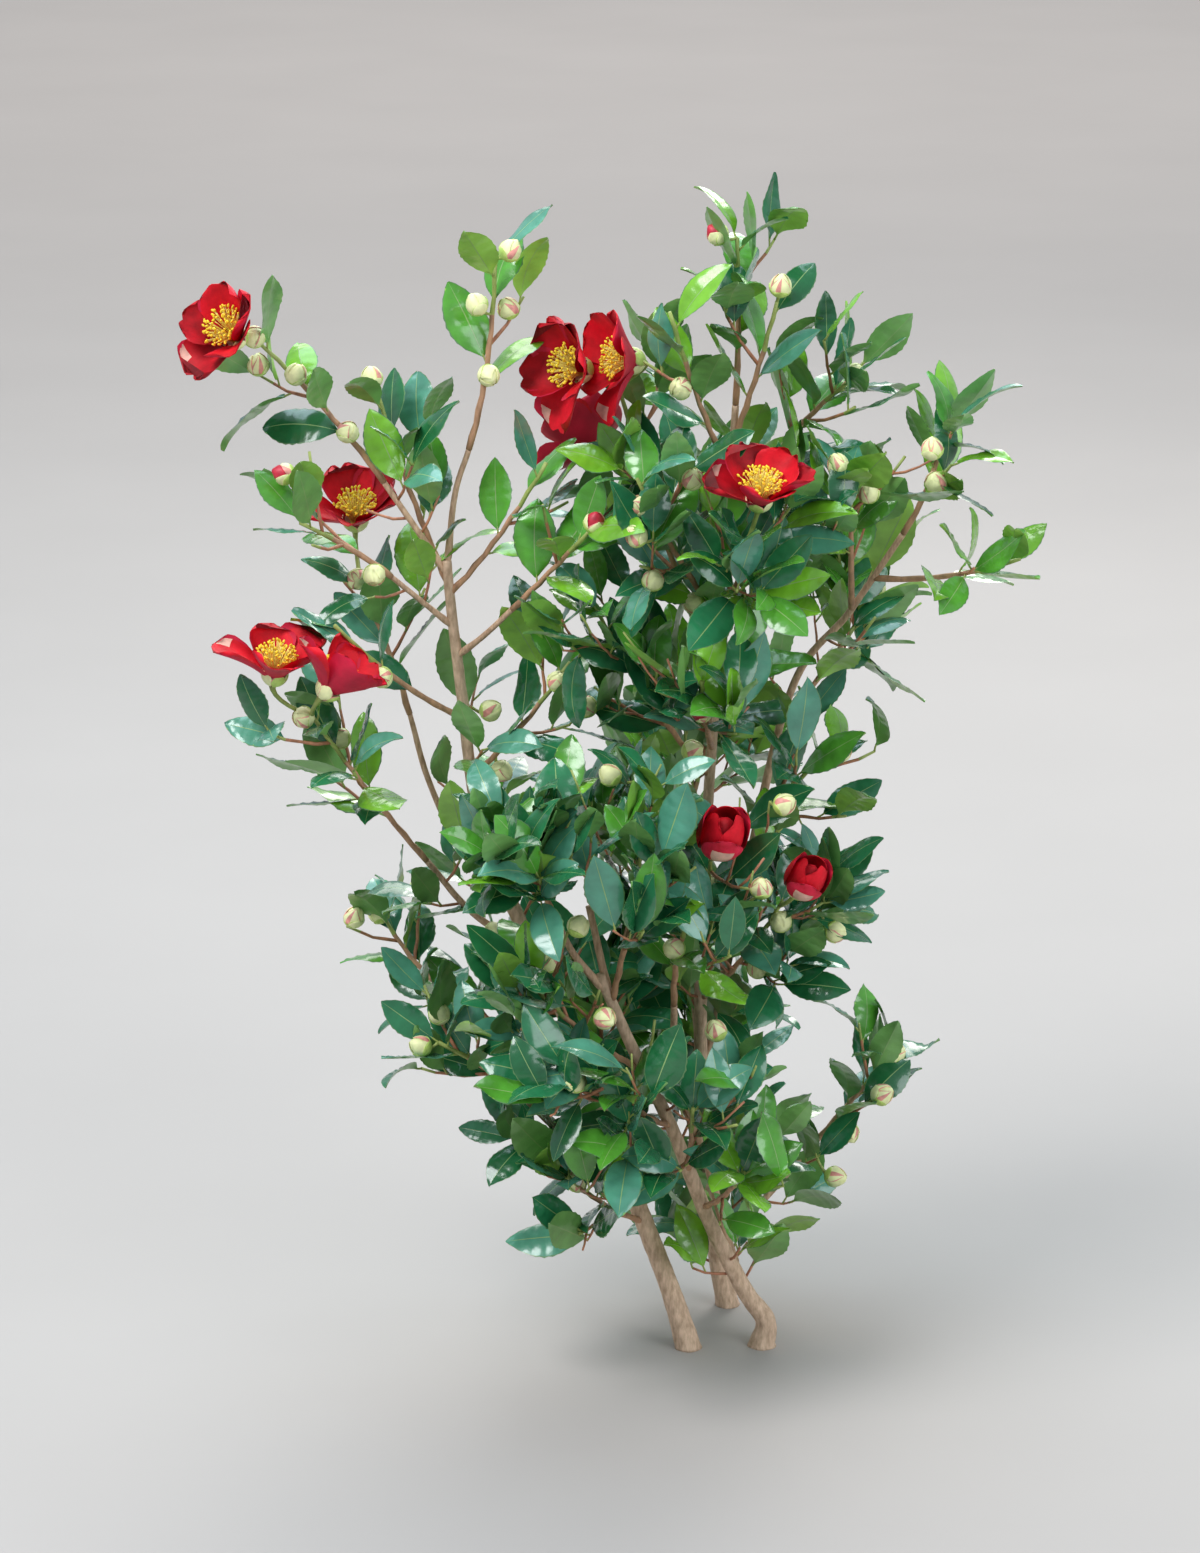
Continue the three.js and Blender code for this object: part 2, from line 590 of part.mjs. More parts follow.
function addBud(mass, { curve, nod }) {
  const along = curve.getTangent(1);
  along.addScaledVector(acrossOf(along, nod), SPREAD.bud).normalize();
  const root = curve.getPoint(1).addScaledVector(along, -BUD.sink);
  if (neighbourAt(mass.name, egg(root, along, BUD.length, BUD.width, JOINT_GAP))) return;
  keep(mass, egg(root, along, BUD.length, BUD.width));
}

// A twig with the way that a bud on it nods. Its leaves follow from the same seed.
function twigOf(curve, turn, leaves, draw) {
  return { curve, turn, leaves, nod: 2 * Math.PI * draw(), draw };
}

// The twigs of a mass: the main one, and each side twig that keeps to the mass's space. Every twig has
// its own seed, so that one that is skipped changes no other.
function growTwigs(mass) {
  const { plan, curve, seed } = mass;
  const turn = THREE.MathUtils.degToRad(plan.turn);
  const twigs = [twigOf(curve, turn, plan.leaves, seeded(seed))];
  for (let number = 0; number < plan.twigs; number++) {
    const draw = seeded(seed + 1 + number);
    const side = sideTwig(curve, plan, number, draw);
    if (!ownsPlace(mass, side.getPoint(1))) continue;
    if (neighbourAt(mass.name, twigSolid(side, TWIG_RADII.side, 1, JOINT_GAP))) continue;
    keep(mass, twigSolid(side, TWIG_RADII.side, 1));
    twigs.push(twigOf(side, turn + number + 1, SIDE_TWIGS.leaves, draw));
  }
  return twigs;
}

// All main twigs come first, then the blooms, so that side twigs, buds and leaves keep clear of both
const masses = Object.entries(MASSES).map(startMass);
for (const mass of masses) for (const bloom of mass.plan.blooms ?? []) addBloom(mass, bloom);
for (const mass of masses) {
  const twigs = growTwigs(mass);
  for (const twig of twigs.slice(0, mass.plan.buds)) addBud(mass, twig);
  for (const twig of twigs) addLeaves(mass, twig);
}

// The scene: each node's geometry is placed at its own root
const BARK = { color: 0xa98763, roughness: 0.85, metalness: 0 };
const FOLIAGE = { color: 0x2f5a33, roughness: 0.45, metalness: 0 };

function nodeMesh(name, body, root, material) {
  const mesh = body.getMesh();
  const corners = new Float32Array(mesh.numVert * 3);
  for (let i = 0; i < mesh.numVert; i++)
    corners.set(mesh.vertProperties.subarray(i * mesh.numProp, i * mesh.numProp + 3), i * 3);
  const geometry = new THREE.BufferGeometry();
  geometry.setAttribute("position", new THREE.BufferAttribute(corners, 3));
  geometry.setIndex(new THREE.BufferAttribute(mesh.triVerts, 1));
  geometry.translate(-root.x, -root.y, -root.z);
  const node = new THREE.Mesh(geometry, new THREE.MeshStandardMaterial(material));
  node.name = name;
  node.position.copy(root);
  return node;
}

const wood = new THREE.Group();
for (const [name, { curve, body }] of Object.entries(limbs))
  wood.add(nodeMesh(name, body, curve.getPoint(0), BARK));

const crown = new THREE.Group();
for (const { name, curve, bodies } of masses) {
  const fused = bodies.reduce((sum, body) => sum.add(body)).simplify(LEAST_EDGE);
  crown.add(nodeMesh(name, largest(fused), curve.getPoint(0), FOLIAGE));
}

const shrub = new THREE.Group();
shrub.name = "camellia_shrub";
shrub.add(wood, crown);

export default shrub;
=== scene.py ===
"""A young camellia shrub: the looks of its stems, twigs, leaves, buds and red blossoms.

The shrub is grown again here by the source's own rule, from the same sizes, and carried to finer
twigs. Sizes are in millimetres until a piece is made; the frame and every piece are in metres.
"""

import math
from types import SimpleNamespace as Values

import bpy
import numpy as np
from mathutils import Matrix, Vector, noise


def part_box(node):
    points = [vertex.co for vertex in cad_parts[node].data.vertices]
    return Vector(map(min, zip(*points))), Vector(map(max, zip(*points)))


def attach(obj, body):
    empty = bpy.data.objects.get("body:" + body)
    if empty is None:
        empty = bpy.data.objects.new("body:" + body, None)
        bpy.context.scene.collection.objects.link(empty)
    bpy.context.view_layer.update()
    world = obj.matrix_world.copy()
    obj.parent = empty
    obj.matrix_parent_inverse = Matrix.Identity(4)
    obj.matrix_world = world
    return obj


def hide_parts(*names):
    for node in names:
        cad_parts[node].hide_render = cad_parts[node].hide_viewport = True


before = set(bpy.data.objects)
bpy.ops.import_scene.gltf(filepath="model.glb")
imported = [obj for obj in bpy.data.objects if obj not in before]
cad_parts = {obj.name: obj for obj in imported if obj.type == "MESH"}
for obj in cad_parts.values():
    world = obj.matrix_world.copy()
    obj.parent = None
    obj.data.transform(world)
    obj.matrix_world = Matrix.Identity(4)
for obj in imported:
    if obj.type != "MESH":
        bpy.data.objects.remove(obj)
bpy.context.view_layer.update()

MM = 0.001
UP = Vector((0, 0, 1))
FULL_TURN = 2 * math.pi
FIFTHS = (0.2, 0.4, 0.6, 0.8, 1)

# Growth, as in the source: shares along a limb or twig, directions, and how far the draws spread them
GOLDEN_TURN = math.radians(137.5)
MAIN_TWIG = Values(onward=0.4, sag=0.1)
SIDE_TWIGS = Values(
    start=0.3, end=0.9, longest=1.1, taper=0.3, least=0.9, spread=0.25, onward=0.6, outward=0.8, rise=0.25,
    leaves=3,
)
LEAVES = Values(start=0.3, end=0.98, open=(1.2, 0.55), size=(1.02, 0.86), rise=0.3, inward=0.6)
SPREAD = Values(twig_turn=0.4, turn=0.7, open=0.35, size=0.28, roll=1.8, bud=0.4)
SPACE_OVERLAP = 15
JOINT_GAP = 0.35
FLARE = Values(share=0.1, height=11)
BLOOM_LENGTH = 36

# The first seeds of masses, fine twigs, short shoots and looks, and the steps between them
SEEDS = Values(
    first=1000, per_mass=16, fine=500000, per_twig=31, spur=700000, per_limb=97, look=9000, bud_look=9500,
)

# Bark that shows, by height, and how far leaves keep aside of what shows from the front
BARE = dict(
    stem_right=[(0, 90), (118, 168), (197, 262)],
    stem_left=[(0, 86), (104, 114)],
    bough_pruned=[(238, 300)],
)
IN_VIEW = Values(slope=0.3, bark=8, bloom=22, bud=5, shares=(0.4, 0.8, 1))

# Sizes that differ here from the source's solids, because leaves and twigs are finer and more
LEAF_LENGTH, PETIOLE = 50, 4.5
BUD = Values(length=15.5, width=13)
TWIG_RADII = dict(main=(1.9, 1.1), side=(1.1, 0.8), fine=(0.8, 0.6), spur=(0.9, 0.7))
FINE_TWIGS = Values(
    shares=(0.42, 0.74), length=0.5, least=0.8, spread=0.4, onward=0.7, outward=0.7, rise=0.3, leaves=4,
)

# Leaves turn to the light, away from the shrub's middle, and open wider in the last stretch of a twig
MIDDLE = (-50, 10)
LIGHT_TURN = 0.6
TIP_OPEN, TIP_STRETCH = 1.3, 0.1

# How far fine twigs and leaves may pass the box of their mass's solid, and how clear leaves stay
REACH_MARGIN = 8
LEAF_MIDDLE = 0.6
LIMB_GAP = Values(shares=(0.35, 0.6, 0.85), gap=2.5)
BLOOM_GAP = 0.72 * BLOOM_LENGTH

# Short shoots straight from a limb: the shares of it between which they stand, and their number
SPURS = dict(
    stem_back=[(0.1, 0.5, 26), (0.66, 0.84, 7)],
    stem_right=[(0.34, 0.43, 3), (0.62, 0.72, 3)],
    stem_left=[(0.2, 0.24, 2), (0.26, 0.5, 10), (0.56, 0.74, 4)],
    bough_far_left=[(0.35, 0.9, 3)],
    bough_left_upper=[(0.35, 0.9, 2)],
    bough_left_flower=[(0.35, 0.9, 3)],
    bough_left_shoulder=[(0.3, 0.95, 5)],
    bough_low_left=[(0.3, 0.9, 3)],
    bough_low_right=[(0.3, 0.95, 4)],
    bough_upper_right=[(0.3, 0.95, 4)],
    bough_right=[(0.4, 0.9, 3)],
)
SPUR = Values(
    length=22, least=0.8, spread=0.4, sunk=0.7, onward=0.4, outward=0.9, rise=0.3, leaves=3, margin=40,
)


def foliage(*places):
    return ["foliage_" + place for place in places]


# Leaves crowded at a twig's tip, beside those along it, and the shoots that stay open instead
TIP_LEAVES = dict(main=3, side=2, fine=1, spur=1)
CROWD = Values(last=0.99, apart=0.03)
OPEN_SHOOTS = foliage(
    "far_left", "fork_left", "top_left", "fork_inner", "fork_right", "left_inner", "left_pair",
    "left_flower", "left_shoulder", "fork_low", "far_right", "right_tip", "top", "top_right", "top_inner",
    "upper_right", "left_upper", "low_left", "low_right", "mid_right", "front_low_right",
)

# The shoot whose tip leaves stand wide open, like a rosette
ROSETTE = Values(shoot="foliage_front_low_right", leaves=5, open=2.0)

# Shoots whose leaves are mostly bright young ones, their brightness partly painted backlight shining
# through them
BRIGHT_SHOOTS = foliage("front_low_right", "fork_inner", "fork_right", "top_left", "far_right")

# The photograph's view, and its picture's size in pixels
EYE = Vector((-0.0967, -2.75, 1.174))
PITCH = math.radians(73.4)
LENS, SENSOR = 115.3, 36
PICTURE = (1200, 1553)

# Stems: radius at the ground and at the top, and the points that each one leans through
STEMS = dict(
    stem_right=Values(
        radius=(8, 3),
        path=[
            (0, 0, 0), (2, 0, 16), (-11, -3, 37), (-33, -12, 86), (-55, -28, 149),
            (-77, -42, 201), (-97, -55, 252),
        ],
    ),
    stem_left=Values(
        radius=(7.8, 2.6),
        path=[
            (-44, -3, 0), (-56, -3, 40), (-88, 0, 127), (-120, 8, 212), (-152, 14, 281),
            (-169, 14, 336), (-176, 10, 397), (-182, 4, 455), (-184, 0, 483),
        ],
    ),
    stem_back=Values(
        radius=(7.1, 2),
        path=[
            (-19, 63, 0), (-25, 60, 29), (-33, 50, 99), (-37, 40, 179), (-36, 30, 270),
            (-33, 22, 346), (-28, 10, 433), (-24, 8, 504), (-20, 8, 571),
        ],
    ),
)


def bough(limb, at, radius, *path):
    """A bough: the stem that carries it, the height where it leaves, its radius and its way to its tip."""
    return Values(limb=limb, at=at, radius=radius, path=path)


BOUGHS = dict(
    bough_low_left=bough("stem_left", 118, (2.9, 1.8), (-116, -10, 136), (-143, -22, 167)),
    bough_left_shoulder=bough("stem_left", 178, (2.5, 1.6), (-146, 25, 186), (-192, 45, 212)),
    bough_left_flower=bough("stem_left", 243, (2.6, 1.8), (-170, 8, 268), (-197, -3, 304)),
    bough_left_inner=bough(
        "stem_left", 272, (2.6, 1.6), (-176, 26, 299), (-196, 30, 341), (-207, 26, 384),
    ),
    bough_left_upper=bough("stem_left", 442, (1.9, 1.5), (-215, -12, 476)),
    bough_far_left=bough("stem_left", 474, (2.1, 1.7), (-219, 0, 528)),
    bough_top_left=bough("stem_left", 479, (2, 1.6), (-179, 0, 521), (-171, 0, 547)),
    bough_fork_right=bough("stem_left", 424, (1.9, 1.6), (-162, -3, 440), (-147, -9, 456)),
    bough_front_left=bough("stem_right", 240, (2.6, 1.8), (-111, -62, 266), (-122, -72, 292)),
    bough_front_centre=bough(
        "stem_right", 47, (3.4, 1.9), (-34, -2, 119), (-52, -18, 183), (-54, -36, 227),
    ),
    bough_right=bough(
        "stem_back", 146, (3.5, 1.8), (-11, 52, 275), (15, 42, 395), (47, 24, 446), (76, 8, 496),
    ),
    bough_low_right=bough("stem_back", 37, (2.8, 1.8), (0, 68, 63), (31, 76, 97)),
    bough_upper_right=bough("stem_back", 486, (1.9, 1.5), (-10, 16, 512), (1, 22, 532)),
    bough_back=bough("stem_back", 165, (2.9, 1.7), (-43, 84, 225), (-44, 116, 270)),
    bough_pruned=bough("stem_right", 238, (2.4, 2), (-103, -50, 292)),
)


def blossom(foot, face, openness):
    """A blossom: its foot, the way it faces, and how far it is open, from 0 to 1."""
    return Values(foot=Vector(foot), face=Vector(face).normalized(), open=openness)


def mass(limb, tip, reach, twigs, leaves, buds, turn, at=None, blooms=()):
    """A mass of foliage, from its bough's tip, or from a limb at a height, to its main twig's tip.

    reach is how far its side twigs stand out, and twigs how many there are. leaves is how many the main
    twig carries, buds how many of its twigs end in one, and turn where the first side twig points, in
    degrees round the main twig.
    """
    return Values(
        limb=limb, tip=Vector(tip), reach=reach, twigs=twigs, leaves=leaves, buds=buds,
        turn=math.radians(turn), at=at, blooms=blooms,
    )


MASSES = {"foliage_" + place: plan for place, plan in dict(
    far_left=mass(
        "bough_far_left", (-292, -5, 614), 40, 1, 5, 2, 150,
        blooms=[blossom((-299, -10, 612), (-0.45, -0.6, 0.6), 0.75)],
    ),
    fork_left=mass("stem_left", (-224, 22, 577), 34, 1, 5, 2, 60, at=468),
    top_left=mass("bough_top_left", (-155, -5, 658), 30, 1, 5, 2, 40),
    fork_inner=mass("stem_left", (-127, -15, 543), 34, 1, 5, 1, 200, at=462),
    fork_right=mass("bough_fork_right", (-101, -34, 510), 34, 1, 7, 2, 20),
    left_upper=mass("bough_left_upper", (-265, -34, 513), 44, 3, 5, 2, 100),
    left_inner=mass(
        "bough_left_inner", (-236, 22, 470), 38, 2, 5, 2, 0,
        blooms=[blossom((-238, 44, 492), (0.05, -0.35, 0.93), 0.75)],
    ),
    left_pair=mass("stem_left", (-246, -44, 456), 36, 1, 5, 1, 80, at=386),
    left_flower=mass(
        "bough_left_flower", (-262, -38, 404), 44, 4, 8, 2, 120,
        blooms=[
            blossom((-281, -46, 424), (0.2, -0.1, 0.95), 0.85),
            blossom((-252, -60, 420), (0.65, 0.1, 0.7), 0.7),
        ],
    ),
    fork_low=mass("stem_left", (-114, 2, 422), 36, 2, 5, 1, 180, at=350),
    left_shoulder=mass("bough_left_shoulder", (-224, 58, 248), 34, 2, 5, 2, 70),
    left_waist=mass("stem_left", (-96, 36, 212), 46, 5, 6, 1, 10, at=150),
    low_left=mass("bough_low_left", (-190, -46, 208), 38, 3, 5, 2, 140),
    crest_left=mass("bough_front_left", (-134, -86, 328), 36, 4, 5, 1, 90),
    crest=mass("stem_right", (-74, -92, 336), 50, 6, 6, 1, 30, at=234),
    front_centre=mass("bough_front_centre", (-44, -88, 304), 54, 6, 6, 2, 60),
    front_low_right=mass("stem_right", (-14, -78, 140), 44, 5, 6, 0, 20, at=94),
    front_left=mass("stem_right", (-138, -92, 262), 44, 6, 6, 2, 0, at=188),
    front_low=mass("stem_right", (-98, -104, 210), 54, 6, 6, 1, 200, at=150),
    bottom_left=mass("stem_left", (-115, -58, 130), 44, 5, 5, 1, 50, at=80),
    top=mass("stem_back", (-20, 2, 668), 32, 2, 7, 1, 255),
    top_right=mass("stem_back", (2, -18, 636), 30, 1, 5, 1, 60, at=550),
    top_inner=mass("stem_back", (-58, -24, 631), 32, 1, 5, 2, 150, at=530),
    upper_left=mass("stem_back", (-76, -50, 542), 40, 2, 5, 2, 180, at=446),
    upper_left_back=mass(
        "stem_back", (-88, 12, 588), 46, 3, 6, 1, 130, at=410,
        blooms=[
            blossom((-74, -2, 598), (-0.95, -0.25, 0.2), 0.95),
            blossom((-104, 10, 590), (-0.75, -0.5, 0.3), 0.95),
            blossom((-96, 34, 536), (-0.4, 0.6, 0.5), 0.8),
        ],
    ),
    upper_right=mass("bough_upper_right", (46, 10, 586), 42, 4, 7, 2, 0),
    flower_centre=mass(
        "stem_back", (-14, -62, 512), 44, 3, 5, 2, 20, at=440,
        blooms=[blossom((-9, -66, 530), (0.1, -0.34, 0.93), 0.8)],
    ),
    centre=mass("stem_back", (-40, -68, 430), 46, 4, 5, 2, 80, at=366),
    centre_left=mass("stem_back", (-98, -24, 459), 46, 4, 5, 2, 120, at=348),
    half_open=mass(
        "stem_back", (-34, -72, 328), 54, 5, 5, 2, 10, at=268,
        blooms=[blossom((-32, -78, 332), (0.25, -0.4, 0.88), 0.2)],
    ),
    mid_right=mass("stem_back", (35, -14, 374), 48, 5, 6, 2, 40, at=306),
    lower_right=mass(
        "stem_back", (8, -36, 290), 42, 5, 6, 2, 60, at=206,
        blooms=[blossom((15, -56, 302), (0.42, -0.42, 0.8), 0.1)],
    ),
    low_right=mass("bough_low_right", (76, 84, 150), 32, 3, 7, 2, 100),
    right_tip=mass("bough_right", (101, 0, 565), 32, 2, 5, 2, 130),
    right_inner=mass("bough_right", (44, -30, 537), 40, 3, 5, 2, 0, at=448),
    far_right=mass("bough_right", (141, -18, 488), 30, 1, 6, 1, 90, at=468),
    back_low=mass("stem_back", (-60, 104, 158), 50, 5, 5, 1, 45, at=96),
    back_mid=mass("bough_back", (-32, 140, 332), 54, 4, 5, 1, 0),
    back_upper=mass("stem_back", (-34, 118, 488), 52, 4, 5, 1, 90, at=402),
    back_left=mass("stem_back", (-102, 92, 308), 50, 4, 5, 1, 20, at=226),
    back_right=mass("bough_right", (64, 90, 438), 44, 3, 5, 1, 60, at=374),
    low_centre=mass("stem_right", (-44, -96, 186), 48, 5, 6, 1, 30, at=120),
).items()}


# Curves and seeded draws


def seeded(seed):
    """The source's own draws: the same numbers on every run."""
    mask = 0xFFFFFFFF
    state = seed & mask

    def draw():
        nonlocal state
        state = (state + 0x6D2B79F5) & mask
        mixed = ((state ^ (state >> 15)) * (1 | state)) & mask
        mixed = ((mixed + (mixed ^ (mixed >> 7)) * (61 | mixed)) & mask) ^ mixed
        return (mixed ^ (mixed >> 14)) / 4294967296

    return draw


def lerp(ends, share):
    return ends[0] + (ends[1] - ends[0]) * share


class Spline:
    """A uniform Catmull-Rom curve through its points."""

    def __init__(self, points):
        points = [Vector(p) for p in points]
        self.points = [2 * points[0] - points[1], *points, 2 * points[-1] - points[-2]]

    def terms(self, t):
        spans = len(self.points) - 3
        first = min(int(spans * t), spans - 1)
        p0, p1, p2, p3 = self.points[first:first + 4]
        slope0, slope1 = (p2 - p0) / 2, (p3 - p1) / 2
        second, third = 3 * (p2 - p1) - 2 * slope0 - slope1, 2 * (p1 - p2) + slope0 + slope1
        return spans * t - first, p1, slope0, second, third

    def point(self, t):
        w, a, b, c, d = self.terms(t)
        return a + w * (b + w * (c + w * d))

    def tangent(self, t):
        w, _, b, c, d = self.terms(t)
        return (b + w * (2 * c + 3 * w * d)).normalized()


class Bend:
    """A quadratic curve from its root to its tip."""

    def __init__(self, root, middle, tip):
        self.root, self.middle, self.tip = root, middle, tip

    def point(self, t):
        return (1 - t) ** 2 * self.root + 2 * t * (1 - t) * self.middle + t * t * self.tip

    def tangent(self, t):
        return ((1 - t) * (self.middle - self.root) + t * (self.tip - self.middle)).normalized()


def across_of(along, angle):
    """The direction at right angles to along that lies at an angle round it."""
    first = Vector((1, 0, 0)) if abs(along.z) > 0.95 else UP.copy()
    first = (first - first.dot(along) * along).normalized()
    return math.cos(angle) * first + math.sin(angle) * along.cross(first)


def point_at_height(curve, height):
    """The place on a rising curve that lies at a height."""
    steps = 400
    heights = [curve.point(step / steps).z for step in range(steps + 1)]
    above = next(step for step, z in enumerate(heights) if z >= height)
    share = (above - (heights[above] - height) / (heights[above] - heights[above - 1])) / steps
    return curve.point(share)


# The limbs, and the twigs of each mass


limbs = {name: Spline(plan.path) for name, plan in STEMS.items()}
for name, plan in BOUGHS.items():
    limbs[name] = Spline([point_at_height(limbs[plan.limb], plan.at), *plan.path])


def limb_radius(name, share):
    return lerp((STEMS.get(name) or BOUGHS[name]).radius, math.sqrt(share))


def main_twig(plan):
    limb, tip = limbs[plan.limb], plan.tip
    if plan.at is None:
        along = limb.tangent(1)
        root = limb.point(1) + JOINT_GAP * along
        return Bend(root, root + MAIN_TWIG.onward * (tip - root).length * along, tip)
    root = point_at_height(limb, plan.at)
    return Bend(root, (root + tip) / 2 - MAIN_TWIG.sag * (tip - root).length * UP, tip)


def branch(root, along, out, length, plan, draw):
    """A twig that leaves its root onward and outward and bends up, with a draw for its length."""
    length = length * (plan.least + plan.spread * draw())
    aim = plan.onward * along + plan.outward * out
    return Bend(root, root + 0.5 * length * aim, root + length * (aim + plan.rise * UP))


def side_twig(main, plan, number, draw):
    share = lerp((SIDE_TWIGS.start, SIDE_TWIGS.end), (number + 0.5) / plan.twigs)
    along = main.tangent(share)
    turn = plan.turn + number * GOLDEN_TURN
    out = across_of(along, turn + SPREAD.twig_turn * (draw() - 0.5))
    reach = plan.reach * (SIDE_TWIGS.longest - SIDE_TWIGS.taper * share)
    return branch(main.point(share), along, out, reach, SIDE_TWIGS, draw)


def fine_twig(side, share, draw):
    """A twig of the third order, which leaves a side twig as that leaves the main one."""
    along = side.tangent(share)
    out = across_of(along, FULL_TURN * draw())
    reach = FINE_TWIGS.length * (side.tip - side.root).length
    return branch(side.point(share), along, out, reach, FINE_TWIGS, draw)


def leaf_place(twig, share, turn, draw, tip_open):
    """A leaf's place on its twig, always from four draws."""
    along = twig.tangent(share)
    out = across_of(along, turn + SPREAD.turn * (draw() - 0.5))
    open_ = lerp(LEAVES.open, share) + SPREAD.open * (draw() - 0.5)
    open_ = open_ * (tip_open if share > LEAVES.end - TIP_STRETCH else 1)
    size = LEAF_LENGTH * lerp(LEAVES.size, share) * (1 + SPREAD.size * (draw() - 0.5))
    roll = SPREAD.roll * (draw() - 0.5)
    way = (math.cos(open_) * along + math.sin(open_) * out + LEAVES.rise * UP).normalized()
    root = twig.point(share)
    outward = Vector((root.x - MIDDLE[0], root.y - MIDDLE[1], 0)).normalized()
    face = UP - LEAVES.inward * out + LIGHT_TURN * outward + roll * way.cross(UP)
    face = (face - face.dot(way) * way).normalized()
    return Values(root=root, way=way, face=face, size=size)


def places_along(leaf, shares):
    """Places along a leaf, at shares of its length."""
    return [np.array(leaf.root + share * leaf.size * leaf.way) for share in shares]


mains = {name: main_twig(plan) for name, plan in MASSES.items()}
main_places = {name: np.array([curve.point(share) for share in FIFTHS]) for name, curve in mains.items()}


def distances(place):
    """How far a place lies from each mass's main twig."""
    place = np.array(place)
    return {name: np.linalg.norm(places - place, axis=1).min() for name, places in main_places.items()}


def owns_place(name, place):
    """A mass's own space lies no further from its main twig than from any other's."""
    far = distances(place)
    return far[name] - SPACE_OVERLAP <= min(far.values())


def nearest_mass(place):
    far = distances(place)
    return min(far, key=far.get)


def within_reach(name, place, margin):
    """Whether a place lies in the box of the mass's solid, or a little outside it."""
    low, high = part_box(name)
    return all(low[k] / MM - margin <= place[k] <= high[k] / MM + margin for k in range(3))


# Places along the limbs, with the limb's radius, that no leaf may pass through
LIMB_STEPS = 80
limb_places = np.array([
    (*curve.point(step / LIMB_STEPS), limb_radius(name, step / LIMB_STEPS))
    for name, curve in limbs.items() for step in range(LIMB_STEPS + 1)
])


def clear_of_limbs(leaf):
    for place in places_along(leaf, LIMB_GAP.shares):
        if (np.linalg.norm(limb_places[:, :3] - place, axis=1) < limb_places[:, 3] + LIMB_GAP.gap).any():
            return False
    return True


class Twig:
    """A twig with its order, its leaves' turn and number, and its own draws."""

    def __init__(self, curve, order, turn, leaves, draw):
        self.curve, self.order, self.turn, self.leaves = curve, order, turn, leaves
        self.nod = FULL_TURN * draw()
        self.draw = draw


def grow_twigs(index, name, plan):
    """The twigs of one mass: the source's, and finer ones on its side twigs."""
    seed = SEEDS.first + SEEDS.per_mass * index
    main = mains[name]
    twigs = [Twig(main, "main", plan.turn, plan.leaves, seeded(seed))]
    for number in range(plan.twigs):
        draw = seeded(seed + 1 + number)
        side = side_twig(main, plan, number, draw)
        if owns_place(name, side.tip):
            twigs.append(Twig(side, "side", plan.turn + number + 1, SIDE_TWIGS.leaves, draw))
    if name in OPEN_SHOOTS:
        return twigs
    fine = []
    for number, twig in enumerate(twigs):
        for share in FINE_TWIGS.shares:
            draw = seeded(SEEDS.fine + seed + SEEDS.per_twig * number + round(100 * share))
            curve = fine_twig(twig.curve, share, draw)
            if owns_place(name, curve.tip) and within_reach(name, curve.tip, REACH_MARGIN):
                fine.append(Twig(curve, "fine", FULL_TURN * draw(), FINE_TWIGS.leaves, draw))
    return twigs + fine


def grow_spur(limb, share, number):
    """A short leafy shoot that stands out from a limb."""
    draw = seeded(SEEDS.spur + SEEDS.per_limb * list(limbs).index(limb) + number)
    along = limbs[limb].tangent(share)
    out = across_of(along, number * GOLDEN_TURN + draw())
    root = limbs[limb].point(share) + SPUR.sunk * limb_radius(limb, share) * out
    curve = branch(root, along, out, SPUR.length, SPUR, draw)
    return Twig(curve, "spur", FULL_TURN * draw(), SPUR.leaves, draw)


all_twigs = {name: grow_twigs(index, name, plan) for index, (name, plan) in enumerate(MASSES.items())}
for limb, stretches in SPURS.items():
    for first, last, count in stretches:
        for number in range(count):
            spur = grow_spur(limb, lerp((first, last), (number + 0.5) / count), number)
            all_twigs[nearest_mass(spur.curve.tip)].append(spur)


# Buds in view, and guessed ones behind


# The photograph's pixels where it shows a bud. Each stands on the nearest twig or bough.
BUD_PIXELS = dict(
    opening=[(715, 232), (595, 520), (281, 473), (700, 712)],
    left=[
        (255, 335), (258, 362), (297, 372), (349, 430), (371, 375), (475, 302), (507, 306), (512, 248),
        (490, 377), (358, 580), (375, 577), (380, 678), (301, 717), (338, 738), (355, 915),
        (504, 773), (493, 709),
    ],
    top=[
        (781, 283), (856, 372), (932, 446), (935, 480), (837, 462), (868, 490), (680, 388), (637, 505),
        (693, 477), (634, 534), (875, 603),
    ],
    middle=[
        (691, 603), (653, 578), (728, 655), (695, 750), (608, 773), (558, 680), (584, 705), (843, 750),
        (787, 803), (710, 884), (761, 886), (780, 920), (838, 933), (758, 966), (672, 948),
    ],
    low=[
        (715, 1028), (549, 960), (495, 932), (580, 924), (607, 1020), (440, 1012), (418, 1045),
        (578, 1180), (577, 1080), (850, 1135), (838, 1177),
    ],
)
SEEN_BUD = Values(prefer_front=0.08, forward=5, rise=0.6, size=0.95)
# The depth beyond which the photograph shows no mass, so that its buds stand at its twigs' tips
GUESSED_DEPTH = 40


def line_of_sight(pixel):
    """The way from the eye through a pixel of the photograph."""
    focus = LENS / SENSOR * PICTURE[1]
    right, up = (pixel[0] - PICTURE[0] / 2) / focus, (PICTURE[1] / 2 - pixel[1]) / focus
    forward = Vector((0, math.sin(PITCH), -math.cos(PITCH)))
    return forward + right * Vector((1, 0, 0)) + up * Vector((0, math.cos(PITCH), math.sin(PITCH)))


def seen_place(pixel, depth):
    """The place at a depth that shows at a pixel."""
    way = line_of_sight(pixel)
    return (EYE + way * (depth * MM - EYE.y) / way.y) / MM


def outer_places(curve, steps):
    return [curve.point(k / steps) for k in range(steps // 4, steps + 1)]


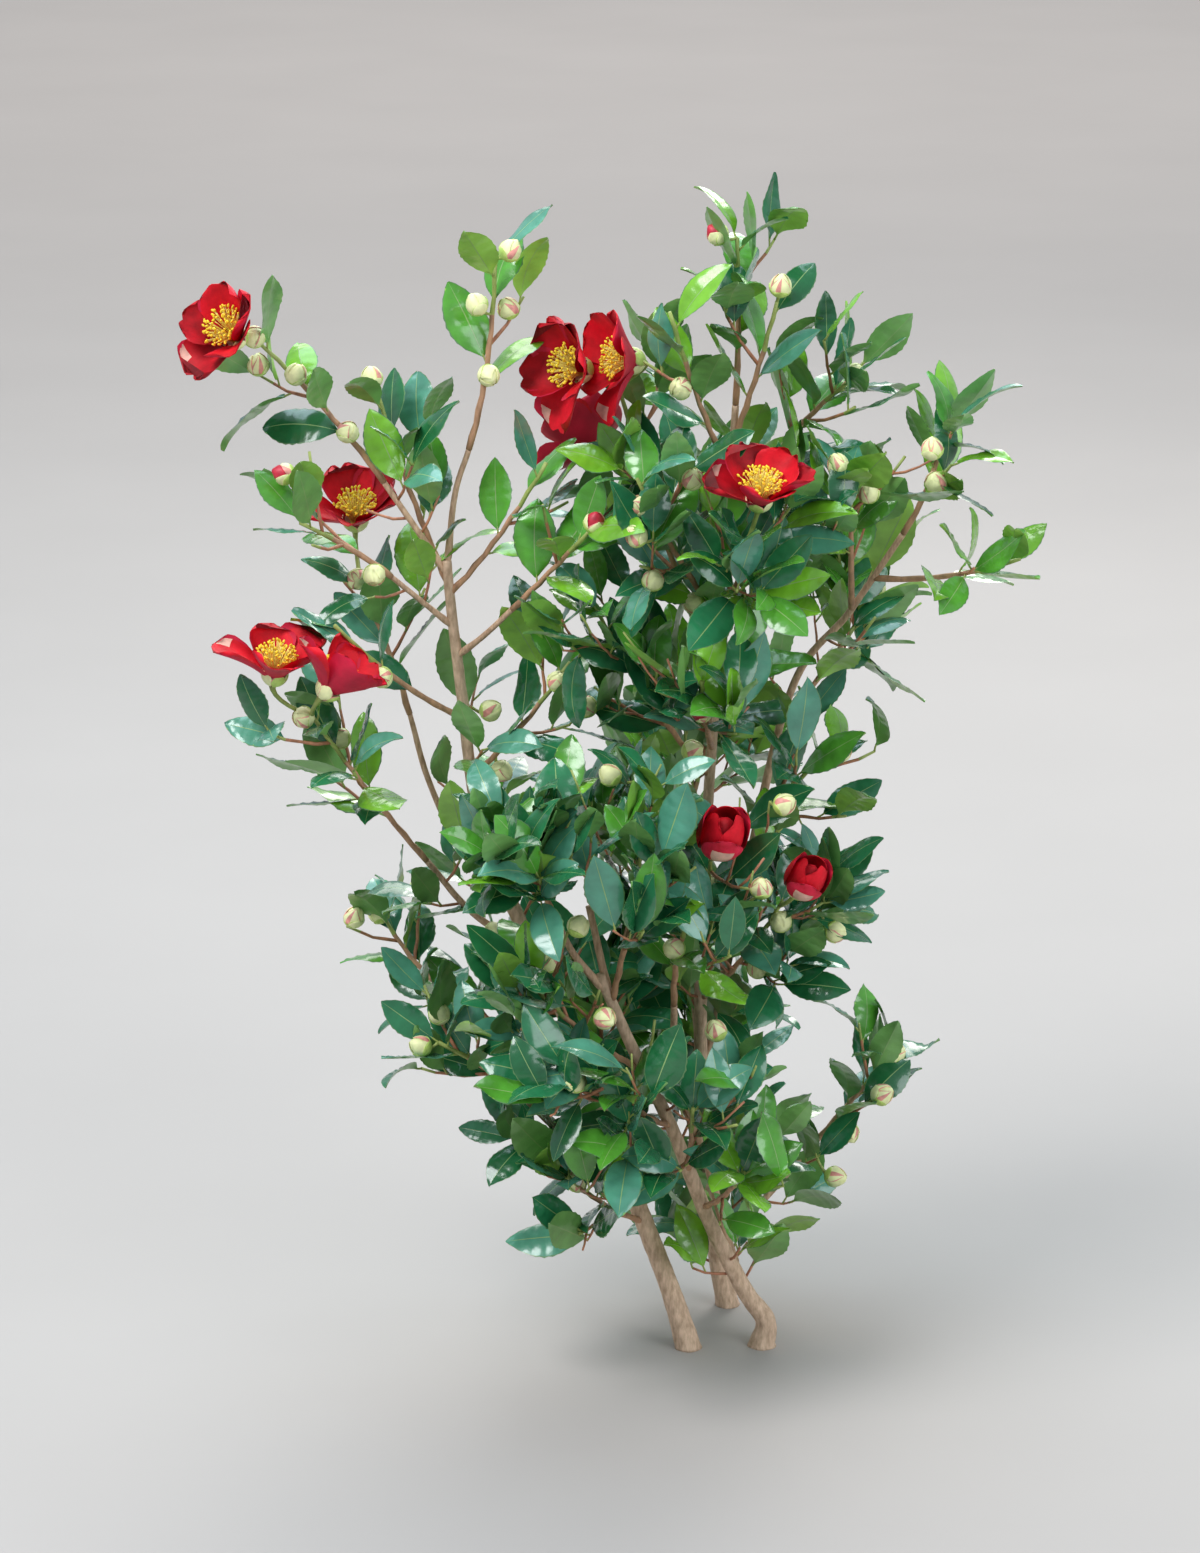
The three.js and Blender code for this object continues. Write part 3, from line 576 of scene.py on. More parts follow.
# Places that may carry a bud: the last three quarters of each twig and bough
carriers = np.array([
    *(place for twigs in all_twigs.values() for twig in twigs for place in outer_places(twig.curve, 8)),
    *(place for name in BOUGHS for place in outer_places(limbs[name], 12)),
])


def seen_bud(pixel, opening):
    """A bud at a pixel, on the nearest carrier along its line of sight, with the start of its stalk."""
    way = np.array(line_of_sight(pixel).normalized())
    gaps = carriers - np.array(EYE / MM)
    aside = np.linalg.norm(gaps - np.outer(gaps @ way, way), axis=1)
    start = Vector(carriers[int(np.argmin(aside + SEEN_BUD.prefer_front * carriers[:, 1]))])
    middle = seen_place(pixel, start.y - SEEN_BUD.forward)
    along = ((middle - start).normalized() + SEEN_BUD.rise * UP).normalized()
    root = middle - 0.5 * BUD.length * along
    return Values(start=start, root=root, along=along, size=SEEN_BUD.size, opening=opening)


def tip_bud(twig):
    along, tip = twig.curve.tangent(1), twig.curve.point(1)
    along = (along + SPREAD.bud * across_of(along, twig.nod)).normalized()
    return Values(start=tip, root=tip, along=along, size=1.0, opening=False)


seen_buds = [seen_bud(pixel, kind == "opening") for kind, pixels in BUD_PIXELS.items() for pixel in pixels]
tip_buds = [
    tip_bud(twig) for name, plan in MASSES.items() if plan.tip.y > GUESSED_DEPTH
    for twig in all_twigs[name][:plan.buds]
]


# What stays in view from the front: bare bark, the blossoms that face it, and the buds
blossoms = [bloom for plan in MASSES.values() for bloom in plan.blooms]
bloom_middles = np.array([bloom.foot + BLOOM_LENGTH / 2 * bloom.face for bloom in blossoms])
BARE_STEPS = 60
in_view = []
for name, stretches in BARE.items():
    for place in (limbs[name].point(k / BARE_STEPS) for k in range(BARE_STEPS + 1)):
        if any(low <= place.z <= high for low, high in stretches):
            in_view.append((*place, IN_VIEW.bark))
in_view += [(*p, IN_VIEW.bloom) for p, bloom in zip(bloom_middles, blossoms) if bloom.face.y < 0]
in_view += [(*(bud.root + 0.5 * BUD.length * bud.along), IN_VIEW.bud) for bud in seen_buds]
in_view = np.array(in_view)


def hides(leaf):
    """Whether a leaf hides from the front what stays in view."""
    for x, y, z in places_along(leaf, IN_VIEW.shares):
        fall = IN_VIEW.slope * (in_view[:, 1] - y)
        aside = np.hypot(x - in_view[:, 0], z - fall - in_view[:, 2])
        if ((fall > 0) & (aside < in_view[:, 3])).any():
            return True
    return False


def clear_of_blooms(leaf):
    places = places_along(leaf, FIFTHS)
    return all(np.linalg.norm(bloom_middles - place, axis=1).min() >= BLOOM_GAP for place in places)


def leaf_shares(twig, name):
    """Where a twig carries its leaves: spread along it as in the source, then crowded at its tip."""
    spread = [lerp((LEAVES.start, LEAVES.end), (k + 0.5) / twig.leaves) for k in range(twig.leaves)]
    crowd = 1 if name in OPEN_SHOOTS else TIP_LEAVES[twig.order]
    crowd = ROSETTE.leaves if name == ROSETTE.shoot and twig.order == "main" else crowd
    return spread + [CROWD.last - CROWD.apart * k for k in range(crowd)]


def grow_leaves(name, twigs):
    """The leaves of one mass that keep to its space and clear of what shows."""
    leaves = []
    tip_open = ROSETTE.open if name == ROSETTE.shoot else TIP_OPEN
    for twig in twigs:
        margin = SPUR.margin if twig.order == "spur" else REACH_MARGIN
        for k, share in enumerate(leaf_shares(twig, name)):
            leaf = leaf_place(twig.curve, share, twig.turn + k * GOLDEN_TURN, twig.draw, tip_open)
            middle, tip = places_along(leaf, (LEAF_MIDDLE, 1))
            kept = owns_place(name, middle) and within_reach(name, tip, margin)
            if kept and clear_of_limbs(leaf) and clear_of_blooms(leaf) and not hides(leaf):
                leaves.append(leaf)
    return leaves


# Meshes


# Kinds of a blade's faces: 0 up for the strips above, BELOW up for those below, ENDS for its two ends
BELOW, ENDS = 100, 200


class Piece:
    """Gathers closed bodies, each face with its material, and makes them one object."""

    def __init__(self, name, materials):
        self.name, self.materials = name, materials
        self.corners, self.loops, self.sizes, self.slots, self.rims = [], [], [], [], []
        self.count = 0

    def add(self, corners, loops, sizes, slots, rims=None):
        self.corners.append(corners)
        self.loops.append(loops + self.count)
        self.sizes.append(sizes)
        self.slots.append(slots)
        self.rims.append(np.zeros(len(corners), bool) if rims is None else rims)
        self.count += len(corners)

    def add_tube(self, points, radii, sides, slot):
        """A closed tube of one material."""
        corners, loops, sizes, _ = tube(points, radii, sides)
        self.add(corners, loops, sizes, np.full(len(sizes), slot))

    def add_blade(self, blade, corners, slots):
        self.add(corners, blade.loops, blade.sizes, slots, blade.rims)

    def make(self, slot, nodes):
        mesh = bpy.data.meshes.new(self.name)
        corners, loops = np.concatenate(self.corners) * MM, np.concatenate(self.loops)
        sizes = np.concatenate(self.sizes)
        mesh.vertices.add(len(corners))
        mesh.vertices.foreach_set("co", corners.astype(np.float32).ravel())
        mesh.loops.add(len(loops))
        mesh.loops.foreach_set("vertex_index", loops.astype(np.int32))
        mesh.polygons.add(len(sizes))
        mesh.polygons.foreach_set("loop_start", (np.cumsum(sizes) - sizes).astype(np.int32))
        mesh.polygons.foreach_set("material_index", np.concatenate(self.slots).astype(np.int32))
        mesh.update(calc_edges=True)
        mesh.validate()
        rims = np.concatenate(self.rims)
        ends = np.zeros(2 * len(mesh.edges), np.int32)
        mesh.edges.foreach_get("vertices", ends)
        sharp = rims[ends.reshape(-1, 2)].all(axis=1)
        mesh.attributes.new("sharp_edge", "BOOLEAN", "EDGE").data.foreach_set("value", sharp)
        for material in self.materials:
            mesh.materials.append(material)
        piece = bpy.data.objects.new(self.name, mesh)
        bpy.context.scene.collection.objects.link(piece)
        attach(piece, "root")
        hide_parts(*nodes)
        print(self.name, sum(len(p.vertices) - 2 for p in mesh.polygons), "triangles")


class Blade:
    """The layout of a thin closed body: rows along it, columns across it, one face and its back.

    Each corner has its row's share u of the length, its place v from -1 to 1 across, and whether it is
    below. above and below are the columns' places on the face and on the back.
    """

    def __init__(self, rows, above, below):
        inner = below[1:-1]
        width = len(above) + len(inner)
        self.rows = rows
        self.row = np.repeat(np.arange(rows + 1), width)
        self.u = self.row / rows
        self.v = np.tile(np.array([*above, *inner]), rows + 1)
        self.below = np.tile(np.array([0] * len(above) + [1] * len(inner)), rows + 1)
        self.rims = (np.abs(self.v) == 1) | (self.row == 0) | (self.row == rows)
        back = [0, *range(len(above), width), len(above) - 1]
        faces, kinds = [], []
        for row in range(rows):
            here, ahead = row * width, (row + 1) * width
            for k in range(len(above) - 1):
                faces.append([here + k, ahead + k, ahead + k + 1, here + k + 1])
                kinds.append(k)
            for k in range(len(back) - 1):
                faces.append([here + back[k], here + back[k + 1], ahead + back[k + 1], ahead + back[k]])
                kinds.append(BELOW + k)
        ring = [*range(len(above)), *reversed(range(len(above), width))]
        faces.append(ring)
        faces.append([rows * width + k for k in reversed(ring)])
        kinds += [ENDS, ENDS]
        self.loops = np.array([corner for face in faces for corner in face])
        self.sizes = np.array([len(face) for face in faces])
        self.kinds = np.array(kinds)
        self.strip_row = np.array([min(face) // width for face in faces])


def unit(v):
    return v / np.linalg.norm(v)


def tube(points, radii, sides, relief=None):
    """A closed tube along points. relief gives the share of its radius at each corner."""
    points, radii = np.array(points, float), np.array(radii, float)
    ways = np.gradient(points, axis=0)
    ways /= np.linalg.norm(ways, axis=1)[:, None]
    side = unit(np.cross(ways[0], (1, 0, 0) if abs(ways[0][0]) < 0.8 else (0, 1, 0)))
    angles = FULL_TURN * np.arange(sides) / sides
    rings = []
    for k, (point, way, radius) in enumerate(zip(points, ways, radii)):
        side = unit(side - side.dot(way) * way)
        other = np.cross(way, side)
        reach = radius * (relief[k] if relief is not None else 1)
        round_ = np.outer(np.cos(angles) * reach, side)
        rings.append(point + round_ + np.outer(np.sin(angles) * reach, other))
    rows = len(points)
    here = np.arange((rows - 1) * sides)
    ring, k = here // sides, here % sides
    after = ring * sides + (k + 1) % sides
    quads = np.stack([here, after, after + sides, here + sides], axis=1)
    ends = [np.arange(sides)[::-1], (rows - 1) * sides + np.arange(sides)]
    loops = np.concatenate([quads.ravel(), *ends])
    sizes = np.array([4] * len(quads) + [sides, sides])
    rows_of = np.concatenate([ring, [0, rows - 2]])
    return np.concatenate(rings), loops, sizes, rows_of


def numbered(*names):
    """Material slots, by the names of what they are for."""
    return {name: k for k, name in enumerate(names)}


# Each tone's share of the leaves at the shrub's foot, at its top, and on the bright shoots, and the
# height where the leaves begin to brighten, with the stretch over which they do
# The sky_sheen tone is painted reflection: a pale blue-green base colour that stands for the sky's sheen
# on glossy leaves.
TONES = dict(
    deep=(0.24, 0.16, 0.05), teal=(0.32, 0.26, 0.05), sky_sheen=(0.27, 0.24, 0.1),
    # fresh and young: young growth, made brighter by painted backlight shining through the leaves.
    fresh=(0.14, 0.20, 0.5), young=(0.03, 0.14, 0.3),
)
BRIGHTER = Values(height=200, stretch=300)

LEAF_SLOTS = numbered(*TONES, "back", "back_young", "rib", "edge")
TWIG_SLOTS = dict(main=0, side=1, fine=1, spur=1, green=2)
BUD_SLOTS = numbered("cream", "green", "pink", "red")
# The petals' deep slot is the red with painted shade.
PETAL_SLOTS = numbered("red", "deep", "back", "pale", "rose")
STAMEN_SLOTS = numbered("filament", "anther")
BARK_SLOTS = numbered("old", "young")


# Leaves


# The columns of a leaf's face: beside its rib, half way out, and at its edge
RIB, INNER, EDGE = 0.026, 0.5, 0.965
LEAF_ROWS = 18
leaf_blade = Blade(
    LEAF_ROWS, [-1, -EDGE, -INNER, -RIB, RIB, INNER, EDGE, 1], [-1, -INNER, -RIB, RIB, INNER, 1],
)

# Half a leaf's width along its length, as shares of both
LEAF_OUTLINE = (
    [0, 0.03, 0.1, 0.2, 0.35, 0.5, 0.65, 0.78, 0.88, 0.95, 1],
    [0.05, 0.14, 0.40, 0.70, 0.94, 1.0, 0.91, 0.70, 0.44, 0.20, 0.03],
)
# A leaf's form, as shares of its length or in radians: pairs are the least and the most
LEAF = Values(
    half=(0.225, 0.285), curl=(-0.3, 1.2), fold=(0.03, 0.42), twist=0.5, straight=0.15, arch=1.1,
    thick=0.010, thicker_rib=1.2,
)
TEETH = Values(start=0.15, end=0.97, out=0.011)
WAVE = Values(height=0.035, along=9, across=2)
VEINS = Values(count=6, slant=0.35, height=0.010)
# A leaf's stalk, in millimetres: its radii, how far it sags, and how far it runs into the rib
STALK = Values(radii=[0.75, 0.62, 0.6, 0.3], sag=0.2, low=0.25, into=2.2, sides=6)


def leaf_corners(draw):
    """A pointed oval leaf: folded along its rib, arched, curled and finely toothed."""
    row, u, v = leaf_blade.row, leaf_blade.u, leaf_blade.v
    shares = np.arange(LEAF_ROWS + 1) / LEAF_ROWS
    half = np.interp(shares, *LEAF_OUTLINE)[row] * lerp(LEAF.half, draw())
    toothed = (np.abs(v) == 1) & (row % 2 == 1) & (u > TEETH.start) & (u < TEETH.end)
    curl, fold = lerp(LEAF.curl, draw()), lerp(LEAF.fold, draw())
    tilt = LEAF.twist * (draw() - 0.5) * u
    wave, phase = WAVE.height * draw(), FULL_TURN * draw()
    pitch = curl * (shares - LEAF.straight)
    step = 1 / LEAF_ROWS
    forward = np.concatenate([[0], np.cumsum(np.cos(pitch[1:]) * step)])
    down = np.concatenate([[0], np.cumsum(np.sin(pitch[1:]) * step)])
    aside = v * (half + np.where(toothed, TEETH.out, 0))
    rise = np.abs(aside) * math.sin(fold) - LEAF.arch * aside * aside
    rise = rise + wave * v * v * np.sin(WAVE.along * u + phase + WAVE.across * v)
    veins = np.sin(FULL_TURN * VEINS.count * (u - VEINS.slant * np.abs(v)))
    rise = rise + VEINS.height * np.sin(math.pi * np.abs(v)) * veins
    aside = aside * math.cos(fold)
    aside, rise = aside * np.cos(tilt) - rise * np.sin(tilt), aside * np.sin(tilt) + rise * np.cos(tilt)
    rise = rise - LEAF.thick * leaf_blade.below * (1 + LEAF.thicker_rib * (np.abs(v) < 2 * RIB))
    ahead = forward[row] + rise * np.sin(pitch[row])
    up = -down[row] + rise * np.cos(pitch[row])
    return np.stack([ahead, aside, up], axis=1)


def leaf_slots(tone):
    """The material of each face of a leaf: its tone above, its paler back with painted light shining
    through, its rib and its edge.
    """
    top, rib, edge = LEAF_SLOTS[tone], LEAF_SLOTS["rib"], LEAF_SLOTS["edge"]
    back = LEAF_SLOTS["back_young" if tone in ("fresh", "young") else "back"]
    table = dict(enumerate([edge, top, top, rib, top, top, edge]))
    table.update(enumerate([back, back, rib, back, back], BELOW))
    table[ENDS] = rib
    return np.array([table[kind] for kind in leaf_blade.kinds])


def tone_of(pick, height, name):
    """A leaf's tone: dark at the foot of the shrub, and brighter towards its top and on some shoots."""
    light = min(max((height - BRIGHTER.height) / BRIGHTER.stretch, 0), 1)
    bright = name in BRIGHT_SHOOTS
    weights = [some if bright else lerp((foot, top), light) for foot, top, some in TONES.values()]
    ends = np.cumsum(weights) / sum(weights)
    return list(TONES)[min(int(np.searchsorted(ends, pick)), len(TONES) - 1)]


def add_leaf(leaves, twigs, leaf, tone, draw):
    """A leaf on its short stalk, which bends into the leaf's rib."""
    root, way, face = np.array(leaf.root), np.array(leaf.way), np.array(leaf.face)
    foot = root + PETIOLE * way
    directions = np.stack([way, np.cross(face, way), face])
    corners = foot + (leaf.size - PETIOLE) * leaf_corners(draw) @ directions
    leaves.add_blade(leaf_blade, corners, leaf_slots(tone))
    sag = STALK.sag * face
    tip = foot + STALK.into * way - sag
    points = [root, root + 0.5 * PETIOLE * way - sag, foot - STALK.low * face, tip]
    twigs.add_tube(points, STALK.radii, STALK.sides, TWIG_SLOTS["green"])


# Buds: a core inside scales that overlap


scale_blade = Blade(7, [-1, -0.86, -0.4, 0, 0.4, 0.86, 1], [-1, 0, 1])
# The form of an egg: how early it is widest, and how full it is
EGG = Values(early=0.85, full=0.62)
CORE = Values(length=0.98, width=0.93, sunk=1.0)
# The scales of a bud: those inside, those outside, and the ones under a blossom. turn is between two
# scales, lower how much shorter each is than the last, and lift how far it stands off what it covers.
INNER_SCALES = Values(count=3, turn=2.1, lower=0.03, span=1.25, lift=0.25)
INNER_REACH = dict(opening=0.80, closed=0.965)
OUTER_SCALES = Values(count=4, first=0.8, turn=1.7, reach=0.62, lower=0.11, span=1.05, lift=0.55)
CALYX = Values(count=6, turn=1.3, reach=0.62, lower=0.05, span=0.8, lift=0.5, size=(17, 15), sunk=3.2)
SCALE = Values(start=0.03, taper=2.6, foot=0.55, widening=3, pressed=0.35, thick=0.55, thin_edge=0.25)
BUD_STALK = Values(radii=[1.0, 0.9, 0.9, 1.0, 1.3, 1.9], sag=0.12, into=1.5, sides=8)


def egg(share):
    """An egg's radius at a share of its length, with 1 at its widest."""
    return np.sin(math.pi * share ** EGG.early) ** EGG.full


def add_ovoid(piece, foot, along, length, width, slot, rings=6, sides=10):
    shares = np.linspace(0.02, 0.98, rings)
    points = np.array(foot) + np.outer(length * shares, np.array(along))
    piece.add_tube(points, width / 2 * egg(shares), sides, slot)


def round_axis(foot, along, turn, heights, radii, angles):
    """Corners round an axis, at heights along it and at angles from a turn."""
    first, second = np.array(across_of(along, turn)), np.array(across_of(along, turn + math.pi / 2))
    return (np.array(foot) + np.outer(heights, np.array(along))
            + np.outer(radii * np.cos(angles), first) + np.outer(radii * np.sin(angles), second))


def add_scale(piece, foot, along, turn, size, reach, plan, slot, edge, streak=None):
    """One scale of a bud: a patch of its surface from near its foot to a share of its length.

    streak is the strip, 1 to 4, that takes the edge's colour too.
    """
    u, v, kinds = scale_blade.u, scale_blade.v, scale_blade.kinds
    length, width = size
    share = SCALE.start + (reach - SCALE.start) * u
    narrow = np.sqrt(np.clip(1 - u ** SCALE.taper, 0.01, 1))
    widening = SCALE.foot + (1 - SCALE.foot) * np.minimum(1, SCALE.widening * u)
    out = width / 2 * egg(share) + plan.lift * (SCALE.pressed + (1 - SCALE.pressed) * u)
    out = out - SCALE.thick * scale_blade.below - SCALE.thin_edge * (np.abs(v) == 1)
    corners = round_axis(foot, along, turn, length * share, out, -v * plan.span * narrow * widening)
    edged = (kinds == 0) | (kinds == 5) | (kinds == streak)
    piece.add_blade(scale_blade, corners, np.where(edged, BUD_SLOTS[edge], BUD_SLOTS[slot]))


def add_bud(piece, bud, draw):
    along, size = bud.along, (BUD.length * bud.size, BUD.width * bud.size)
    foot = np.array(bud.root) - CORE.sunk * np.array(along)
    core = BUD_SLOTS["red" if bud.opening else "cream"]
    add_ovoid(piece, foot, along, CORE.length * size[0], CORE.width * size[1], core)
    turn = FULL_TURN * draw()
    tips = INNER_REACH["opening" if bud.opening else "closed"]
    for k in range(INNER_SCALES.count):
        edge = "pink" if draw() < 0.5 else "cream"
        streak = 1 + int(4 * draw())
        reach = tips - INNER_SCALES.lower * k
        way = turn + INNER_SCALES.turn * k
        add_scale(piece, foot, along, way, size, reach, INNER_SCALES, "cream", edge, streak)
    for k in range(OUTER_SCALES.count):
        reach = OUTER_SCALES.reach - OUTER_SCALES.lower * k
        way = turn + OUTER_SCALES.first + OUTER_SCALES.turn * k
        add_scale(piece, foot, along, way, size, reach, OUTER_SCALES, "green" if k else "cream", "green")


def add_bud_stalk(piece, bud):
    """The short stalk between a bud and its carrier."""
    start, foot = np.array(bud.start), np.array(bud.root)
    span = np.linalg.norm(foot - start)
    if span < 1:
        return
    bend = 0.5 * (start + foot) - BUD_STALK.sag * span * np.array(UP)
    curve = Bend(Vector(start), Vector(bend), Vector(foot + BUD_STALK.into * np.array(bud.along)))
    points = [curve.point(share) for share in (0, *FIFTHS)]
    piece.add_tube(points, BUD_STALK.radii, BUD_STALK.sides, TWIG_SLOTS["green"])


# Blossoms


petal_blade = Blade(
    14, [-1, -0.93, -0.75, -0.5, -0.25, 0, 0.25, 0.5, 0.75, 0.93, 1], [-1, -0.7, -0.35, 0, 0.35, 0.7, 1],
)
# Half a petal's width along its length, as shares of both
PETAL_OUTLINE = ([0, 0.12, 0.3, 0.5, 0.7, 0.86, 0.95, 1], [0.2, 0.3, 0.58, 0.86, 1.0, 0.96, 0.82, 0.62])
# Each open petal's extra lean, from the one at the front round to the right
PETAL_LEANS = (0.05, -0.15, -0.2, -0.15, 0.5)
# A petal's form: pairs are the least and the most
PETAL = Values(
    length=38, width=37, thick=0.55, longer=(0.92, 1.08), wider=(0.9, 1.1), early=0.8, throat=1.6,
    rounded=0.16, notch=(0.02, 0.09), notch_width=0.2, crease=0.05, crease_width=0.12,
)
RUFFLE = Values(height=(0.04, 0.12), middle=0.3, across=5, along=3, share=0.6)
# The faces of a petal, by row and kind, that are pale: its foot, a streak, and an outer petal's heart
PALE = Values(foot=2, streak_rows=(10, 11, 12), streak=(1, 2, BELOW + 1), heart_rows=9, heart=(3, 4, 5, 6))
# How open petals stand: pairs are for a closed and a wide-open blossom
# deep is the share of open petals given the deep red, a painted shade.
OPEN = Values(
    size=(0.86, 1.03), foot_lean=(0.55, 0.7), end_lean=(0.1, 1.2), cup=(1.1, 0.75), of_lean=0.3,
    lean_spread=0.35, turn_spread=0.3, inner_up=0.6, inner_smaller=0.05, deep=0.35, streaked=0.3,
)
HALF_OPEN = Values(most=0.3, usual=0.15, growth=1.5, sunk=1.5, core=(27, 19), apart=2.1)
# The petals that wrap a half-open blossom: those inside, and those outside
WRAP_INNER = Values(first=0.9, size=(33, 23), reaches=(0.97, 0.93, 0.89), span=1.3, closing=0.8)
WRAP_OUTER = Values(first=0.15, size=(33, 27), reaches=(0.66, 0.9, 0.86), span=0.95, closing=0.4)
WRAP = Values(start=0.04, rounded=0.10, widest=0.44, foot=0.4, end=0.75, flare=0.9)
# Stamens: longer by a draw, shorter outward, on a ring that begins at a share of its radius
STAMENS = Values(
    count=90, length=18, longer=(0.82, 1.12), shorter=(1.08, 0.9), ring=2.6, inner=0.4, sunk=2, lean=0.66,
    lean_spread=0.12, turn_spread=0.4, bend=(0.55, 0.25), shares=(0, 0.4, 0.75, 1), radii=[0.3] * 4,
    sides=4,
)
STAMEN_TUBE = Values(above=1.5, heights=(0, 3, 6), radii=[3.0, 2.7, 2.9], sides=14)
ANTHER = Values(
    heights=(-1.1, -0.5, 0.5, 1.1), radii=[0.35, 0.72, 0.72, 0.35], sides=6, aside=0.9, turn=6.3,
)
BLOOM_STALK = Values(
    steps=50, ends=(0.25, 0.97), straight=0.35, into=2, radii=[1.3] * 5 + [1.6, 2.4], sides=8,
)


def petal_corners(foot, axis, turn, size, leans, cup, draw):
    """One petal: a narrow foot, a broad notched end, cupped across and ruffled at its edge."""
    u, v, rows = petal_blade.u, petal_blade.v, petal_blade.rows
    outward, around = np.array(across_of(axis, turn)), np.array(axis)
    notch, ruffle = lerp(PETAL.notch, draw()), lerp(RUFFLE.height, draw())
    phase = FULL_TURN * draw()
    width = PETAL.width * size * lerp(PETAL.wider, draw()) / 2
    length = PETAL.length * size * lerp(PETAL.longer, draw())
    shares = np.linspace(0, 1, rows + 1)
    leaning = lerp(leans, shares ** PETAL.early)
    step = length / rows
    axial = np.concatenate([[0], np.cumsum(np.cos(leaning[1:]) * step)])
    radial = PETAL.throat + np.concatenate([[0], np.cumsum(np.sin(leaning[1:]) * step)])
    notched = notch * np.exp(-(v / PETAL.notch_width) ** 2)
    reach = u * (1 - u ** 2 * (PETAL.rounded * np.abs(v) ** 3 + notched))
    lean = np.interp(reach, shares, leaning)
    half = width * np.interp(u, *PETAL_OUTLINE)
    aside = half * np.sin(cup * v) / cup
    lift = half * (1 - np.cos(cup * v)) / cup
    waves = np.sin(RUFFLE.across * v + RUFFLE.along * u + phase)
    lift = lift + ruffle * length * u ** 2 * (RUFFLE.middle + v * v) * waves * RUFFLE.share
    lift = lift - PETAL.crease * half * np.exp(-(v / PETAL.crease_width) ** 2) * u
    lift = lift - PETAL.thick * petal_blade.below
    z = np.interp(reach, shares, axial) + lift * np.sin(lean)
    r = np.interp(reach, shares, radial) - lift * np.cos(lean)
    sideways = np.cross(around, outward)
    return np.array(foot) + np.outer(z, around) + np.outer(r, outward) + np.outer(aside, sideways)


def petal_slots(tone, back, streaked=False):
    """The material of each face of a petal: pale at its foot, and sometimes in a streak near its end."""
    kinds, row = petal_blade.kinds, petal_blade.strip_row
    slots = np.where((kinds >= BELOW) & (kinds < ENDS), PETAL_SLOTS[back], PETAL_SLOTS[tone])
    streak = streaked & np.isin(row, PALE.streak_rows) & np.isin(kinds, PALE.streak)
    return np.where((row < PALE.foot) | streak, PETAL_SLOTS["pale"], slots)


def front_turn(axis):
    """The turn round an axis that faces the front most."""
    return min(np.linspace(0, FULL_TURN, 60), key=lambda turn: across_of(axis, turn).y)


def add_open_petals(petals, foot, axis, open_, draw):
    for k, lean in enumerate(PETAL_LEANS):
        inner = k % 2
        end_lean = lerp(OPEN.end_lean, open_) + lean + OPEN.lean_spread * (draw() - 0.5)
        leans = (lerp(OPEN.foot_lean, open_) + OPEN.of_lean * lean, end_lean)
        place = (k + OPEN.turn_spread * (draw() - 0.5)) / len(PETAL_LEANS)
        turn = front_turn(axis) + FULL_TURN * place
        size = lerp(OPEN.size, open_) * (1 - OPEN.inner_smaller * inner)
        base = foot + OPEN.inner_up * inner * axis
        corners = petal_corners(base, axis, turn, size, leans, lerp(OPEN.cup, open_), draw)
        # Some petals take the deep red at random: painted shade.
        tone = "deep" if draw() < OPEN.deep else "red"
        petals.add_blade(petal_blade, corners, petal_slots(tone, "back", lean > OPEN.streaked))


def wrapped_petal(foot, axis, turn, size, reach, plan):
    """A petal that still wraps a half-open blossom: it follows an egg that closes more or less above."""
    u, v = petal_blade.u, petal_blade.v
    length, width = size
    share = WRAP.start + (reach - WRAP.start) * u * (1 - WRAP.rounded * np.abs(v) ** 3)
    out = width / 2 * np.where(share < WRAP.widest, egg(share), 1 - plan.closing * (1 - egg(share)))
    broad = WRAP.foot + (1 - WRAP.foot) * np.sin(math.pi / 2 * np.minimum(1, 2 * u))
    broad = broad * np.sqrt(1 - WRAP.end * u ** 6)
    out = out + WRAP.flare * v ** 2 * u ** 2 - PETAL.thick * petal_blade.below
    return round_axis(foot, axis, turn, length * share, out, -v * plan.span * broad)


def add_wrapped_petals(petals, foot, axis, size, draw):
    """The overlapping petals of a half-open blossom, the outermost with a pale heart, and painted shade in
    deep red on the core and the inner petals' backs.
    """
    base = foot - HALF_OPEN.sunk * axis
    core_length, core_width = (size * side for side in HALF_OPEN.core)
    # The core inside is deep red: painted shade.
    add_ovoid(petals, base, axis, core_length, core_width, PETAL_SLOTS["deep"], rings=8, sides=16)
    front = front_turn(axis)
    for plan in (WRAP_INNER, WRAP_OUTER):
        outer = plan is WRAP_OUTER
        for k, reach in enumerate(plan.reaches):
            turn = front + plan.first + HALF_OPEN.apart * k
            if not outer:
                turn += OPEN.turn_spread * (draw() - 0.5)
            corners = wrapped_petal(base, axis, turn, [size * side for side in plan.size], reach, plan)
            heart = outer and k == 0
            # The inner petals' backs face the core and are deep red: painted shade.
            slots = petal_slots("rose" if heart else "red", "back" if outer else "deep")
            paler = np.isin(petal_blade.kinds, PALE.heart) & (petal_blade.strip_row < PALE.heart_rows)
            petals.add_blade(petal_blade, corners, np.where(heart & paler, PETAL_SLOTS["pale"], slots))


